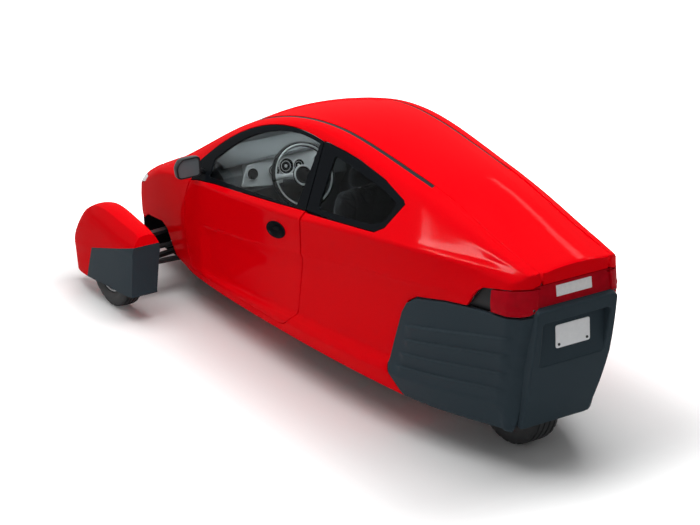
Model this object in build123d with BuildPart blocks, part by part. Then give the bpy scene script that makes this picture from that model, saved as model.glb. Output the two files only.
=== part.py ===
import os
from collections import namedtuple
from math import cos, radians, sin
from build123d import *

os.makedirs("parts", exist_ok=True)

# overall sizes of the car, millimetres
overall_length = 4077.0
overall_height = 1357.0
body_width = 1080.0
wheelbase = 2794.0
rear_overhang = 530.0
front_track = 1666.0

# wall thicknesses and gaps
side_wall = 40.0
floor_wall = 35.0
roof_wall = 28.0
glass_wall = 6.0
seam = 0.5
seat_gap = 0.3
door_gap = 8.0
running_gap = 0.08

# wheels
front_tyre_radius = 278.0
front_tyre_width = 116.0
rear_tyre_radius = 290.0
rear_tyre_width = 160.0
rim_radius = 190.0
rim_wall = 9.0

# the table below is drawn for these sizes, the car is stretched from them
table_nose = 3547.0
table_height = 1357.0
table_width = 1080.0
shoulder_in = 28.0
shoulder_up = 34.0
side_reach = 1200.0
top_reach = 1800.0

rear_axle_x = rear_overhang - overall_length / 2
front_axle_x = rear_axle_x + wheelbase


def px(station):
    return rear_axle_x + station * (overall_length - rear_overhang) / table_nose


def py(breadth):
    return breadth * body_width / table_width


def pz(height):
    return height * overall_height / table_height


# body sections, x is measured forward of the rear axle
Station = namedtuple(
    "Station",
    "x floor sill_y rock_y rock_z ledge_y ledge_z well_y crease_z "
    "waist_y waist_z rail_y rail_z slot_y slot_z roof_z",
)
stations = [
    Station(3547, 300, 140, 175, 325, 172, 345, 172, 372, 175, 400, 128, 436, 100, 442, 446),
    Station(3440, 215, 290, 322, 290, 328, 312, 328, 380, 322, 450, 265, 500, 215, 516, 528),
    Station(3250, 165, 380, 420, 270, 428, 297, 428, 430, 420, 522, 358, 572, 298, 594, 620),
    Station(2850, 150, 430, 495, 260, 498, 290, 498, 500, 495, 690, 410, 732, 340, 756, 783),
    Station(2480, 150, 462, 525, 255, 524, 282, 524, 535, 525, 772, 405, 905, 350, 935, 966),
    Station(2050, 158, 477, 538, 268, 516, 302, 516, 590, 538, 816, 372, 1114, 300, 1152, 1184),
    Station(1600, 170, 478, 540, 288, 515, 328, 515, 665, 540, 867, 324, 1272, 260, 1288, 1310),
    Station(1120, 180, 465, 531, 302, 506, 356, 506, 738, 531, 922, 303, 1318, 238, 1328, 1357),
    Station(600, 186, 428, 489, 317, 464, 375, 465, 808, 489, 985, 289, 1254, 224, 1277, 1320),
    Station(150, 190, 358, 410, 330, 402, 385, 418, 853, 424, 1016, 277, 1174, 212, 1206, 1249),
    Station(-200, 200, 256, 302, 350, 303, 392, 347, 872, 334, 1014, 256, 1104, 208, 1117, 1149),
    Station(-560, 220, 150, 192, 372, 198, 402, 288, 880, 262, 1000, 230, 1040, 200, 1050, 1068),
]


def half_section(row, wall, floor, roof):
    return [
        (py(row.sill_y) - wall, pz(row.floor) + floor),
        (py(row.rock_y) - wall, pz(row.rock_z) + floor * 0.5),
        (py(row.ledge_y) - wall, pz(row.ledge_z) + floor * 0.5),
        (py(row.well_y) - wall, pz(row.crease_z)),
        (py(row.waist_y) - wall, pz(row.waist_z)),
        (py(row.waist_y - shoulder_in) - wall, pz(row.waist_z + shoulder_up)),
        (py(row.rail_y) - wall, pz(row.rail_z) - roof * 0.5),
        (py(row.slot_y) - wall * 0.8, pz(row.slot_z) - roof),
    ]


def body_loft(rows, wall, floor, roof):
    with BuildPart() as solid:
        for row in rows:
            left = half_section(row, wall, floor, roof)
            right = [(-y, z) for y, z in reversed(left)]
            with BuildSketch(Plane.YZ.offset(px(row.x))):
                with BuildLine():
                    Polyline(*left)
                    ThreePointArc(left[-1], (0, pz(row.roof_z) - roof), right[0])
                    Polyline(*right)
                    Line(right[-1], left[0])
                make_face()
        loft()
    return solid.part


def side_points(outline):
    return [(px(x), pz(z)) for x, z in outline]


# tail profile of the body, everything behind it is cut away
bumper_foot = (-303, 195)
bumper_top = (-530, 885)
lamp_foot = (-506, 893)
lamp_top = (-498, 992)
lip_end = (-521, 1004)
tail_profile = [bumper_foot, bumper_top, lamp_foot, lamp_top, lip_end]
tail_wall = 40.0


def tail_cut(depth):
    with BuildPart() as cutter:
        with BuildSketch(Plane.XZ.offset(-side_reach)):
            with BuildLine():
                edge = [(x + depth, z) for x, z in side_points(tail_profile)]
                foot = (edge[0][0] + 60, 0)
                Polyline(foot, *edge, (edge[-1][0], top_reach), (-2 * overall_length, top_reach),
                         (-2 * overall_length, 0), close=True)
            make_face()
        extrude(amount=2 * side_reach)
    return cutter.part


# plan curve that rounds the tail corners, each point is distance ahead of the tail and half breadth
corner_start = (0, 170)
corner_mid = (22, 226)
corner_end = (75, 272)
corner_side = (215, 400)
corner_reach = 400.0
face_run = px(bumper_top[0]) - px(bumper_foot[0])
face_rise = pz(bumper_top[1]) - pz(bumper_foot[1])
face_root = px(bumper_foot[0]) - face_run * pz(bumper_foot[1]) / face_rise


def corner_cut(depth):
    with BuildPart() as cutter:
        for level, tail_x, lean, height in ((0, face_root, face_run / face_rise, pz(bumper_top[1])),
                                            (pz(bumper_top[1]), px(lip_end[0]), 0, top_reach)):
            for side in (1, -1):
                with BuildSketch(Plane.XY.offset(level)):
                    with BuildLine():
                        curve = [(tail_x + depth + ahead, side * (py(breadth) - depth))
                                 for ahead, breadth in (corner_start, corner_mid, corner_end, corner_side)]
                        far = tail_x - corner_reach
                        ThreePointArc(*curve[:3])
                        Polyline(curve[2], curve[3], (far, curve[3][1]), (far, curve[0][1]), curve[0])
                    make_face()
                extrude(amount=height * (1 + lean * lean) ** 0.5, dir=(lean, 0, 1))
    return cutter.part


with BuildPart() as body_outer:
    add(body_loft(stations, 0, 0, 0))
    add(tail_cut(0), mode=Mode.SUBTRACT)
    add(corner_cut(0), mode=Mode.SUBTRACT)

with BuildPart() as body_cavity:
    add(body_loft(stations[1:], side_wall, floor_wall, roof_wall))
    add(tail_cut(tail_wall), mode=Mode.SUBTRACT)
    add(corner_cut(tail_wall), mode=Mode.SUBTRACT)

with BuildPart() as body_shell:
    add(body_outer.part)
    add(body_cavity.part, mode=Mode.SUBTRACT)

with BuildPart() as glass_shell:
    add(body_outer.part)
    add(body_loft(stations[1:], glass_wall, glass_wall, glass_wall), mode=Mode.SUBTRACT)


# side view outlines, each point is station and height
door_front_peak = (2384, 884)
door_front_top = (2372, 786)
door_front_mid = (2499, 484)
door_front_foot = (2430, 250)
door_heel = (1450, 250)
door_heel_mid = (1338, 290)
door_rear_foot = (1262, 372)
door_rear_belt = (1110, 966)
door_rear_top = (1188, 1270)
window_arch_mid = (1850, 1190)
glass_rear_foot = (1204, 960)
glass_front_foot = (2190, 850)
glass_front_top = (2206, 935)
glass_arch_mid = (1810, 1166)
glass_rear_top = (1212, 1254)
quarter_front_foot = (1070, 966)
quarter_front_top = (1146, 1262)
quarter_top_mid = (790, 1246)
quarter_rear_top = (408, 1168)
quarter_rear_foot = (447, 1052)
quarter_low = (500, 1024)
clip_station = 2400.0


def door_prism(grow, side):
    with BuildPart() as prism:
        with BuildSketch(Plane.XZ):
            with BuildLine():
                front = ThreePointArc(*side_points([door_front_top, door_front_mid, door_front_foot]))
                Line(front @ 1, side_points([door_heel])[0])
                heel = ThreePointArc(*side_points([door_heel, door_heel_mid, door_rear_foot]))
                Polyline(*side_points([door_rear_foot, door_rear_belt, door_rear_top]))
                ThreePointArc(*side_points([door_rear_top, window_arch_mid, door_front_peak]))
                Line(*side_points([door_front_peak, door_front_top]))
            make_face()
            if grow > 0:
                offset(amount=grow, kind=Kind.INTERSECTION)
        extrude(amount=-side * side_reach)
    return prism.part


def window_prism(shrink, side):
    with BuildPart() as prism:
        with BuildSketch(Plane.XZ):
            with BuildLine():
                Polyline(*side_points([glass_rear_top, glass_rear_foot, glass_front_foot, glass_front_top]))
                ThreePointArc(*side_points([glass_front_top, glass_arch_mid, glass_rear_top]))
            make_face()
            if shrink > 0:
                offset(amount=-shrink, kind=Kind.INTERSECTION)
        extrude(amount=-side * side_reach)
    return prism.part


def quarter_prism(shrink, side):
    with BuildPart() as prism:
        with BuildSketch(Plane.XZ):
            with BuildLine():
                Polyline(*side_points([quarter_rear_top, quarter_rear_foot, quarter_low, quarter_front_foot,
                                       quarter_front_top]))
                ThreePointArc(*side_points([quarter_front_top, quarter_top_mid, quarter_rear_top]))
            make_face()
            if shrink > 0:
                offset(amount=-shrink, kind=Kind.INTERSECTION)
        extrude(amount=-side * side_reach)
    return prism.part


def plan_prism(half_outline, low, high):
    with BuildPart() as prism:
        with BuildSketch(Plane.XY.offset(low)):
            with BuildLine():
                left = [(px(x), py(y)) for x, y in half_outline]
                right = [(x, -y) for x, y in reversed(left)]
                Polyline(*left, *right, close=True)
            make_face()
        extrude(amount=high - low)
    return prism.part


def side_prism(outline, near, far):
    with BuildPart() as prism:
        with BuildSketch(Plane.XZ.offset(-near)):
            with BuildLine():
                Polyline(*side_points(outline), close=True)
            make_face()
        extrude(amount=near - far)
    return prism.part


# top view outlines, each point is station and half breadth
screen_front = 2560.0
header = 1950.0
gutter_in = 8.0
gutter_out = 6.0
slot_rows = stations[6:]


def screen_outline(shrink):
    return [(screen_front - shrink, 345 - shrink), (2480, 345 - shrink), (2050, 296 - shrink),
            (header + shrink, 285 - shrink)]


def roof_outline(grow):
    return [(header - seam, 285 + grow)] + [(row.x, row.slot_y + grow) for row in slot_rows]


hood_gap = 6.0
hood_rear = 2870.0
hood_front = 3400.0


def hood_outline(shrink):
    return [(hood_rear + shrink, 330 - shrink), (3250, 285 - shrink), (hood_front - shrink, 215 - shrink)]


hood_low = 420.0
floor_inset = 60.0
floor_front = 2560.0
floor_rear = 420.0
well_top = 260.0


def floor_outline(shrink):
    rows = [(row.x, row.sill_y - floor_inset - shrink) for row in stations[5:9]]
    return [(floor_front - shrink, 400 - shrink)] + rows + [(floor_rear + shrink, 345 - shrink)]


well_outline = [(floor_rear - 1, 300), (0, 225), (-200, 150)]
well_end = [(-190, -10), (-190, 320), (-312, 320), (-312, 266), (-286, 195), (-286, -10)]
well_half = 110.0

# cladding, lamp band and suspension arch in side view
cladding_outline = [(368, 150), (436, 363), (381, 501), (311, 667), (270, 725), (201, 766), (-4, 805),
                    (-195, 827), (-460, 850), (-240, 150)]
bumper_outline = [(-460, 850), (-484, 886), (-700, 886), (-700, 100), (-224, 100), (-240, 150)]
lamp_outline = [(-330, 868), (-460, 850), (-484, 886), (-700, 886), (-700, 992), (-420, 1002), (-350, 985)]
arch_outline = [(2545, 90), (2570, 165), (2700, 300), (2780, 385), (2860, 402), (3170, 345), (3330, 262),
                (3330, 90)]
arch_near = 255.0
white_half = 98.0
white_low = 922.0
white_high = 976.0

whole = (-side_reach, side_reach)
cladding_both = side_prism(cladding_outline, *whole)
bumper_both = side_prism(bumper_outline, *whole)
lamp_both = side_prism(lamp_outline, *whole)
gutter_prism = plan_prism(roof_outline(gutter_out), 850, top_reach)
roof_prism = plan_prism(roof_outline(-gutter_in), 850, top_reach)
with BuildPart() as wheel_well:
    add(plan_prism(well_outline, 0, well_top + 60))
    add(side_prism(well_end, -well_half, well_half))
left_door_hole = door_prism(door_gap, 1)
half_box = 3000.0
split_x = px(clip_station)


def keep_box(x_low, x_high, y_low, y_high):
    with BuildPart() as keep:
        with Locations(((x_low + x_high) / 2, (y_low + y_high) / 2, half_box / 2)):
            Box(x_high - x_low, y_high - y_low, half_box)
    return keep.part


left_half = keep_box(-half_box, half_box, 0, half_box)

# door hinge, two barrels in the front seam of the door
hinge_x = px(door_front_mid[0]) + door_gap / 2
hinge_y = py(530)
hinge_pin = 3.5
hinge_barrel = 7.0
hinge_height = 40.0
hinge_feet = [pz(400), pz(520)]
hinge_leaf = 12.0
hinge_side = 2.0
hinge_room = 13.0
hinge_arm = 30.0

# threaded socket for a tow eye in the nose
tow_z = 375.0
tow_radius = 9.0
tow_depth = 70.0

# hood hinge, one barrel across the middle of the rear seam
hood_axis_x = px(hood_rear) + hood_gap / 2
hood_axis_z = pz(775)
hood_barrel_length = 120.0
hood_barrel = 6.0
hood_pin = 3.0

with BuildPart() as frame_shell:
    add(body_shell.part)
    for cutter in (cladding_both, bumper_both, lamp_both, gutter_prism, wheel_well.part,
                   plan_prism(screen_outline(0), 700, top_reach),
                   plan_prism(hood_outline(0), hood_low, top_reach),
                   plan_prism(floor_outline(0), 0, well_top)):
        add(cutter, mode=Mode.SUBTRACT)
    for side in (1, -1):
        add(side_prism(arch_outline, side * arch_near, side * side_reach), mode=Mode.SUBTRACT)

with BuildPart() as front_clip:
    add(frame_shell.part)
    add(keep_box(split_x + seam, half_box, -half_box, half_box), mode=Mode.INTERSECT)
    add(left_door_hole, mode=Mode.SUBTRACT)
    for foot in hinge_feet:
        with Locations((hinge_x, hinge_y, foot - hinge_leaf)):
            Cylinder(hinge_room, hinge_height + 2 * hinge_leaf,
                     align=(Align.CENTER, Align.CENTER, Align.MIN), mode=Mode.SUBTRACT)
            Cylinder(hinge_pin, hinge_height + hinge_leaf, align=(Align.CENTER, Align.CENTER, Align.MIN))
            Box(2 * hinge_room, hinge_barrel, hinge_leaf - hinge_side,
                align=(Align.MIN, Align.MAX, Align.MIN))
    with Locations((hood_axis_x, 0, hood_axis_z)):
        Cylinder(hood_barrel + hood_gap, hood_barrel_length + 2 * hinge_leaf, rotation=(90, 0, 0),
                 mode=Mode.SUBTRACT)
        Cylinder(hood_pin, hood_barrel_length + 4 * hinge_leaf, rotation=(90, 0, 0))
    for side in (1, -1):
        with Locations((hood_axis_x + hood_pin, side * (hood_barrel_length / 2 + hinge_leaf), hood_axis_z)):
            Box(60, hinge_leaf, 2 * hood_barrel + hood_gap,
                align=(Align.MAX, Align.CENTER, Align.CENTER))
    with BuildSketch(Plane.YZ.offset(px(table_nose))):
        with Locations((0, pz(tow_z))):
            Circle(tow_radius)
    extrude(amount=-tow_depth, mode=Mode.SUBTRACT)
front_clip.part.label = "front_clip"

with BuildPart() as left_side_frame:
    add(frame_shell.part)
    add(keep_box(-half_box, split_x, 0, half_box), mode=Mode.INTERSECT)
    for cutter in (left_door_hole, quarter_prism(0, 1)):
        add(cutter, mode=Mode.SUBTRACT)
left_side_frame.part.label = "left_side_frame"

with BuildPart() as right_side_frame:
    add(frame_shell.part)
    add(keep_box(-half_box, split_x, -half_box, 0), mode=Mode.INTERSECT)
    for cutter in (window_prism(0, -1), quarter_prism(0, -1)):
        add(cutter, mode=Mode.SUBTRACT)
right_side_frame.part.label = "right_side_frame"

with BuildPart() as left_door:
    add(body_shell.part)
    add(door_prism(0, 1), mode=Mode.INTERSECT)
    add(window_prism(0, 1), mode=Mode.SUBTRACT)
    add(plan_prism(roof_outline(gutter_out + door_gap), 850, top_reach), mode=Mode.SUBTRACT)
    for foot in hinge_feet:
        with Locations((hinge_x, hinge_y, foot)):
            Cylinder(hinge_barrel, hinge_height, align=(Align.CENTER, Align.CENTER, Align.MIN))
            Box(hinge_arm, hinge_barrel + 3, hinge_height, align=(Align.MAX, Align.MAX, Align.MIN))
            Cylinder(hinge_pin + running_gap, hinge_height, align=(Align.CENTER, Align.CENTER, Align.MIN),
                     mode=Mode.SUBTRACT)
left_door.part.label = "left_door"

with BuildPart() as roof_blank:
    add(body_shell.part)
    add(plan_prism(roof_outline(-gutter_in - seam), 850, top_reach), mode=Mode.INTERSECT)
    add(bumper_both, mode=Mode.SUBTRACT)
    add(lamp_both, mode=Mode.SUBTRACT)

with BuildPart() as roof_panel:
    add(roof_blank.part.solids().sort_by(SortBy.VOLUME)[-1])
roof_panel.part.label = "roof_panel"

with BuildPart() as gutter_blank:
    add(body_shell.part)
    add(plan_prism(roof_outline(gutter_out - seam), 850, top_reach), mode=Mode.INTERSECT)
    add(roof_prism, mode=Mode.SUBTRACT)
    add(bumper_both, mode=Mode.SUBTRACT)
    add(lamp_both, mode=Mode.SUBTRACT)

with BuildPart() as roof_gutters:
    add(gutter_blank.part.solids().sort_by(SortBy.VOLUME)[-2:])
roof_gutters.part.label = "roof_gutters"

with BuildPart() as windscreen:
    add(glass_shell.part)
    add(plan_prism(screen_outline(seam), 700, top_reach), mode=Mode.INTERSECT)
windscreen.part.label = "windscreen"

with BuildPart() as hood:
    add(body_shell.part)
    add(plan_prism(hood_outline(hood_gap), hood_low, top_reach), mode=Mode.INTERSECT)
    with Locations((hood_axis_x, 0, hood_axis_z)):
        Cylinder(hood_barrel, hood_barrel_length, rotation=(90, 0, 0))
        Box(30, hood_barrel_length, 14, align=(Align.MIN, Align.CENTER, Align.MAX))
        Cylinder(hood_pin + running_gap, hood_barrel_length, rotation=(90, 0, 0), mode=Mode.SUBTRACT)
hood.part.label = "hood"

with BuildPart() as floor_pan:
    add(body_shell.part)
    add(plan_prism(floor_outline(seam), 0, well_top), mode=Mode.INTERSECT)
floor_pan.part.label = "floor_pan"

with BuildPart() as tail_band:
    add(body_shell.part)
    add(lamp_both, mode=Mode.INTERSECT)

white_room = side_prism([(-700, white_low), (-700, white_high), (-400, white_high), (-400, white_low)],
                        -py(white_half), py(white_half))

with BuildPart() as left_tail_lamp:
    add(tail_band.part)
    add(keep_box(-half_box, half_box, seam, half_box), mode=Mode.INTERSECT)
    add(white_room, mode=Mode.SUBTRACT)
left_tail_lamp.part.label = "left_tail_lamp"

with BuildPart() as right_tail_lamp:
    add(left_tail_lamp.part)
    mirror(about=Plane.XZ, mode=Mode.REPLACE)
right_tail_lamp.part.label = "right_tail_lamp"

with BuildPart() as reversing_lamp:
    add(tail_band.part)
    add(side_prism([(-700, white_low + seam), (-700, white_high - seam), (-400, white_high - seam),
                    (-400, white_low + seam)], seam - py(white_half), py(white_half) - seam),
        mode=Mode.INTERSECT)
reversing_lamp.part.label = "reversing_lamp"

with BuildPart() as left_cladding:
    add(body_shell.part)
    add(cladding_both, mode=Mode.INTERSECT)
    add(bumper_both, mode=Mode.SUBTRACT)
    add(wheel_well.part, mode=Mode.SUBTRACT)
    add(left_half, mode=Mode.INTERSECT)
left_cladding.part.label = "left_cladding"

with BuildPart() as right_cladding:
    add(left_cladding.part)
    mirror(about=Plane.XZ, mode=Mode.REPLACE)
right_cladding.part.label = "right_cladding"

# rear bumper with a recessed bay for the plate
plate_z = 723.0
bay_low = 100.0
bay_high = 130.0
bay_foot = 165.0
bay_head = 188.0
bay_depth = 12.0
plate_bolt = 3.5
bolt_pitch = 146.0
plate_x = px(bumper_foot[0]) + face_run * (pz(plate_z) - pz(bumper_foot[1])) / face_rise
bumper_plane = Plane(origin=(plate_x, 0, pz(plate_z)), x_dir=(0, -1, 0), z_dir=(-face_rise, 0, face_run))

with BuildPart() as rear_bumper:
    add(body_shell.part)
    add(bumper_both, mode=Mode.INTERSECT)
    add(wheel_well.part, mode=Mode.SUBTRACT)
    with BuildSketch(bumper_plane):
        with BuildLine():
            Polyline((-bay_foot, -bay_low), (bay_foot, -bay_low), (bay_head, bay_high), (-bay_head, bay_high),
                     close=True)
        make_face()
    extrude(amount=-bay_depth, mode=Mode.SUBTRACT)
    with BuildSketch(bumper_plane):
        with GridLocations(bolt_pitch, 0, 2, 1):
            Circle(plate_bolt)
    extrude(amount=-tail_wall * 2, mode=Mode.SUBTRACT)
rear_bumper.part.label = "rear_bumper"

with BuildPart() as left_door_glass:
    add(glass_shell.part)
    add(window_prism(seam, 1), mode=Mode.INTERSECT)
left_door_glass.part.label = "left_door_glass"

with BuildPart() as quarter_glasses:
    add(glass_shell.part)
    add(quarter_prism(seam, 1), mode=Mode.INTERSECT)
    mirror(about=Plane.XZ)
quarter_glasses.part.label = "quarter_glasses"

with BuildPart() as right_front_glass:
    add(left_door_glass.part)
    mirror(about=Plane.XZ, mode=Mode.REPLACE)
right_front_glass.part.label = "right_front_glass"

body_room = body_loft(stations[1:], side_wall + seat_gap, floor_wall + seat_gap, roof_wall + seat_gap)
body_skin = body_loft(stations, -seat_gap, -seat_gap, -seat_gap)

# fittings on the skin
handle_x = 1391.0
handle_z = 785.0
handle_width = 124.0
handle_height = 84.0
handle_out = 14.0

with BuildPart() as door_handle:
    with BuildSketch(Plane.XZ.offset(-py(500))):
        with Locations((px(handle_x), pz(handle_z))):
            RectangleRounded(handle_width, handle_height, handle_height * 0.4)
    extrude(amount=-py(40) - handle_out)
    add(body_skin, mode=Mode.SUBTRACT)
door_handle.part.label = "door_handle"

mirror_x = 2250.0
mirror_y = 588.0
mirror_z = 897.0
mirror_width = 146.0
mirror_height = 116.0
mirror_depth = 75.0
mirror_arm = 30.0

with BuildPart() as left_mirror:
    with BuildSketch(Plane.YZ.offset(px(mirror_x))):
        with Locations((py(mirror_y), pz(mirror_z))):
            RectangleRounded(mirror_width, mirror_height, mirror_height * 0.38)
    extrude(amount=mirror_depth, taper=14)
    with Locations((px(mirror_x), py(mirror_y), pz(mirror_z) - mirror_height * 0.2)):
        Box(mirror_depth * 0.6, 220, mirror_arm, align=(Align.MIN, Align.MAX, Align.MAX))
    add(body_skin, mode=Mode.SUBTRACT)
    add(keep_box(-half_box, half_box, py(420), half_box), mode=Mode.INTERSECT)
left_mirror.part.label = "left_mirror"

with BuildPart() as right_mirror:
    add(left_mirror.part)
    mirror(about=Plane.XZ, mode=Mode.REPLACE)
right_mirror.part.label = "right_mirror"

# inside
wall_station = 2520.0
wall_thick = 18.0
tub_front = 400.0
tub_top = 680.0
tub_wall = 15.0
dash_half = 380.0

with BuildPart() as bulkheads:
    add(side_prism([(tub_front - tub_wall, 0), (tub_front, 0), (tub_front, tub_top), (-700, tub_top),
                    (-700, tub_top - tub_wall), (tub_front - tub_wall, tub_top - tub_wall)], *whole))
    add(keep_box(px(wall_station), px(wall_station) + wall_thick, -side_reach, side_reach))
    add(body_room, mode=Mode.INTERSECT)
    add(tail_cut(tail_wall + seat_gap), mode=Mode.SUBTRACT)
    add(corner_cut(tail_wall + seat_gap), mode=Mode.SUBTRACT)
bulkheads.part.label = "bulkheads"

dash_profile = [(wall_station, 545), (2330, 590), (2240, 690), (2262, 790), (2370, 850), (wall_station, 880)]

wheel_hub_x = 2050.0
wheel_hub_z = 790.0
wheel_tilt = 24.0
wheel_ring = 175.0
wheel_grip = 15.0
hub_radius = 52.0
hub_depth = 36.0
column_radius = 32.0
column_length = 260.0
column_pin = 9.0
hub_gap = 6.0
wheel_plane = Plane(origin=(px(wheel_hub_x), 0, pz(wheel_hub_z)), x_dir=(0, 1, 0),
                    z_dir=(-cos(radians(wheel_tilt)), 0, sin(radians(wheel_tilt))))

with BuildPart() as steering_wheel:
    with Locations(wheel_plane):
        Torus(wheel_ring, wheel_grip)
        Cylinder(hub_radius, hub_depth)
        for turn in (0, 180, 270):
            with Locations(Location((0, 0, 0), (0, 0, turn))):
                Box(wheel_ring, 34, 14, align=(Align.MIN, Align.CENTER, Align.CENTER))
        Cylinder(column_pin + running_gap, hub_depth, mode=Mode.SUBTRACT)
steering_wheel.part.label = "steering_wheel"

with BuildPart() as dashboard:
    add(side_prism(dash_profile, -dash_half, dash_half))
    with Locations(wheel_plane.offset(-hub_depth / 2 - hub_gap)):
        Cylinder(column_radius, column_length, align=(Align.CENTER, Align.CENTER, Align.MAX))
        Cylinder(column_pin, hub_gap + hub_depth * 0.8, align=(Align.CENTER, Align.CENTER, Align.MIN))
    add(body_room, mode=Mode.INTERSECT)
    add(keep_box(-half_box, px(wall_station) - seat_gap, -half_box, half_box), mode=Mode.INTERSECT)
dashboard.part.label = "dashboard"

seat_half = 225.0
Seat = namedtuple("Seat", "name x base_z cushion_z")
seats = [Seat("driver_seat", 1420, 0, 420), Seat("passenger_seat", 640, 0, 450)]
cushion_length = 500.0
cushion_thick = 120.0
back_height = 640.0
back_lean = 190.0
back_thick = 120.0
seat_parts = {}
for seat in seats:
    top = seat.cushion_z
    with BuildPart() as seat_body:
        add(side_prism([(seat.x, 0), (seat.x + cushion_length * 0.85, 0), (seat.x + cushion_length, top - 40),
                        (seat.x + cushion_length - 30, top + 20), (seat.x + back_thick * 0.6, top),
                        (seat.x + back_thick * 0.6 - back_lean, top + back_height),
                        (seat.x - back_thick * 0.4 - back_lean, top + back_height),
                        (seat.x - back_thick * 0.4, top - 60)], -seat_half, seat_half))
        add(body_room, mode=Mode.INTERSECT)
    seat_body.part.label = seat.name
    seat_parts[seat.name] = seat_body.part

# engine block, subframe and rack in the nose, x is measured from the front axle
engine_half = 240.0
frame_half = 245.0
frame_top = 215.0
rack_x = 110.0
rack_z = 238.0
rack_radius = 9.0
rack_house = 46.0

with BuildPart() as front_subframe:
    with Locations((front_axle_x - 110, 0, 0)):
        Box(480, 2 * frame_half, frame_top, align=(Align.MIN, Align.CENTER, Align.MIN))
    add(body_room, mode=Mode.INTERSECT)
    for side in (1, -1):
        with Locations((front_axle_x + 45, side * (frame_half - 25), frame_top)):
            Box(60, 50, 170, align=(Align.MIN, Align.CENTER, Align.MIN))
    with Locations((front_axle_x + rack_x, 0, frame_top)):
        Box(40, 2 * frame_half - 140, rack_house, align=(Align.CENTER, Align.CENTER, Align.MIN))
    with Locations((front_axle_x + rack_x, 0, rack_z)):
        Cylinder(rack_radius + running_gap, 2 * side_reach, rotation=(90, 0, 0), mode=Mode.SUBTRACT)
front_subframe.part.label = "front_subframe"

with BuildPart() as engine_block:
    with Locations((front_axle_x + 132, 0, frame_top + rack_house + seat_gap)):
        Box(263, 2 * engine_half, 270, align=(Align.MIN, Align.CENTER, Align.MIN))
    with Locations((front_axle_x - 70, 0, frame_top + seat_gap)):
        Box(110, 300, 190, align=(Align.MIN, Align.CENTER, Align.MIN))
    with Locations((front_axle_x + 40, 0, frame_top + rack_house + seat_gap)):
        Box(92, 300, 130, align=(Align.MIN, Align.CENTER, Align.MIN))
    with Locations((front_axle_x, 0, front_tyre_radius)):
        Cylinder(45, 400, rotation=(90, 0, 0))
    add(body_room, mode=Mode.INTERSECT)
engine_block.part.label = "engine_block"

# left front corner, the right one is its mirror image
pod_y = front_track / 2
king_y = pod_y - 53
king_pin = 10.0
arm_thick = 20.0
lower_arm_z = front_tyre_radius - 86
upper_arm_z = front_tyre_radius + 66
arm_gap = 6.0
eye_radius = 25.0
stub_radius = 17.0
shaft_radius = 14.0
upright_half = 28.0
upright_low = lower_arm_z + arm_thick + arm_gap
upright_high = upper_arm_z - arm_gap
hub_in = 20.0
hub_out = 40.0

with BuildPart() as left_arms:
    with BuildSketch(Plane.XY.offset(lower_arm_z)):
        with BuildLine():
            Polyline((front_axle_x - 80, frame_half + seat_gap), (front_axle_x - eye_radius, king_y),
                     (front_axle_x + eye_radius, king_y), (front_axle_x + 140, frame_half + seat_gap),
                     close=True)
        make_face()
        with BuildLine():
            Polyline((front_axle_x - 40, frame_half + 30), (front_axle_x - 5, king_y - 130),
                     (front_axle_x + 15, king_y - 130), (front_axle_x + 95, frame_half + 30), close=True)
        make_face(mode=Mode.SUBTRACT)
        with Locations((front_axle_x, king_y)):
            Circle(eye_radius)
            Circle(king_pin + running_gap, mode=Mode.SUBTRACT)
    extrude(amount=arm_thick)
    with BuildSketch(Plane.XY.offset(upper_arm_z)):
        with BuildLine():
            Polyline((front_axle_x + 50, frame_half + seat_gap), (front_axle_x - 22, king_y),
                     (front_axle_x + 22, king_y), (front_axle_x + 100, frame_half + seat_gap), close=True)
        make_face()
        with Locations((front_axle_x, king_y)):
            Circle(eye_radius)
            Circle(king_pin + running_gap, mode=Mode.SUBTRACT)
    extrude(amount=arm_thick)
left_arms.part.label = "left_arms"

shaft_end = king_y - 72

with BuildPart() as drive_shafts:
    with BuildSketch(Plane.XZ.offset(-200 - seat_gap)):
        with Locations((front_axle_x, front_tyre_radius)):
            Circle(shaft_radius)
    extrude(amount=200 + seat_gap - shaft_end)
    with BuildSketch(Plane.XZ.offset(-shaft_end)):
        with Locations((front_axle_x, front_tyre_radius)):
            Circle(2 * shaft_radius)
    extrude(amount=60, taper=12)
    mirror(about=Plane.XZ)
drive_shafts.part.label = "drive_shafts"

# wheel pod, sections along the car, x is measured from the front axle
PodRow = namedtuple("PodRow", "x half low mid top")
pod_rows = [
    PodRow(-470, 81, 170, 400, 535),
    PodRow(-330, 88, 160, 410, 568),
    PodRow(-120, 94, 145, 410, 590),
    PodRow(90, 94, 125, 385, 578),
    PodRow(260, 86, 105, 335, 500),
    PodRow(390, 68, 92, 275, 385),
    PodRow(462, 42, 100, 220, 290),
    PodRow(492, 14, 130, 190, 232),
]
pod_wall = 8.0
pod_rear = [(-375, 100), (-374, 185), (-452, 483), (-462, 700), (-900, 700), (-900, 100)]
pod_skirt_edge = [(-900, 491), (-452, 483), (106, 323), (236, 108), (260, 0), (-900, 0)]
pod_opening = 150.0
crown_flat = 0.55


def pod_loft(inset):
    with BuildPart() as solid:
        for row in pod_rows:
            half = max(row.half - inset, 3)
            top = row.top - inset
            low = row.low if inset <= 0 else row.low - 40
            with BuildSketch(Plane.YZ.offset(front_axle_x + row.x - (inset if row.x > 300 else 0))):
                with BuildLine():
                    left = [(pod_y + half * 0.9, low), (pod_y + half, row.mid)]
                    left_top = (pod_y + half * crown_flat, top - 0.1 * row.half)
                    bulge = (pod_y + half * 0.88, row.mid + (top - row.mid) * 0.62)
                    flip = lambda point: (2 * pod_y - point[0], point[1])
                    Line(left[0], left[1])
                    ThreePointArc(left[1], bulge, left_top)
                    ThreePointArc(left_top, (pod_y, top), flip(left_top))
                    ThreePointArc(flip(left_top), flip(bulge), flip(left[1]))
                    Line(flip(left[1]), flip(left[0]))
                    Line(flip(left[0]), left[0])
                make_face()
        loft()
    return solid.part


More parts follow.
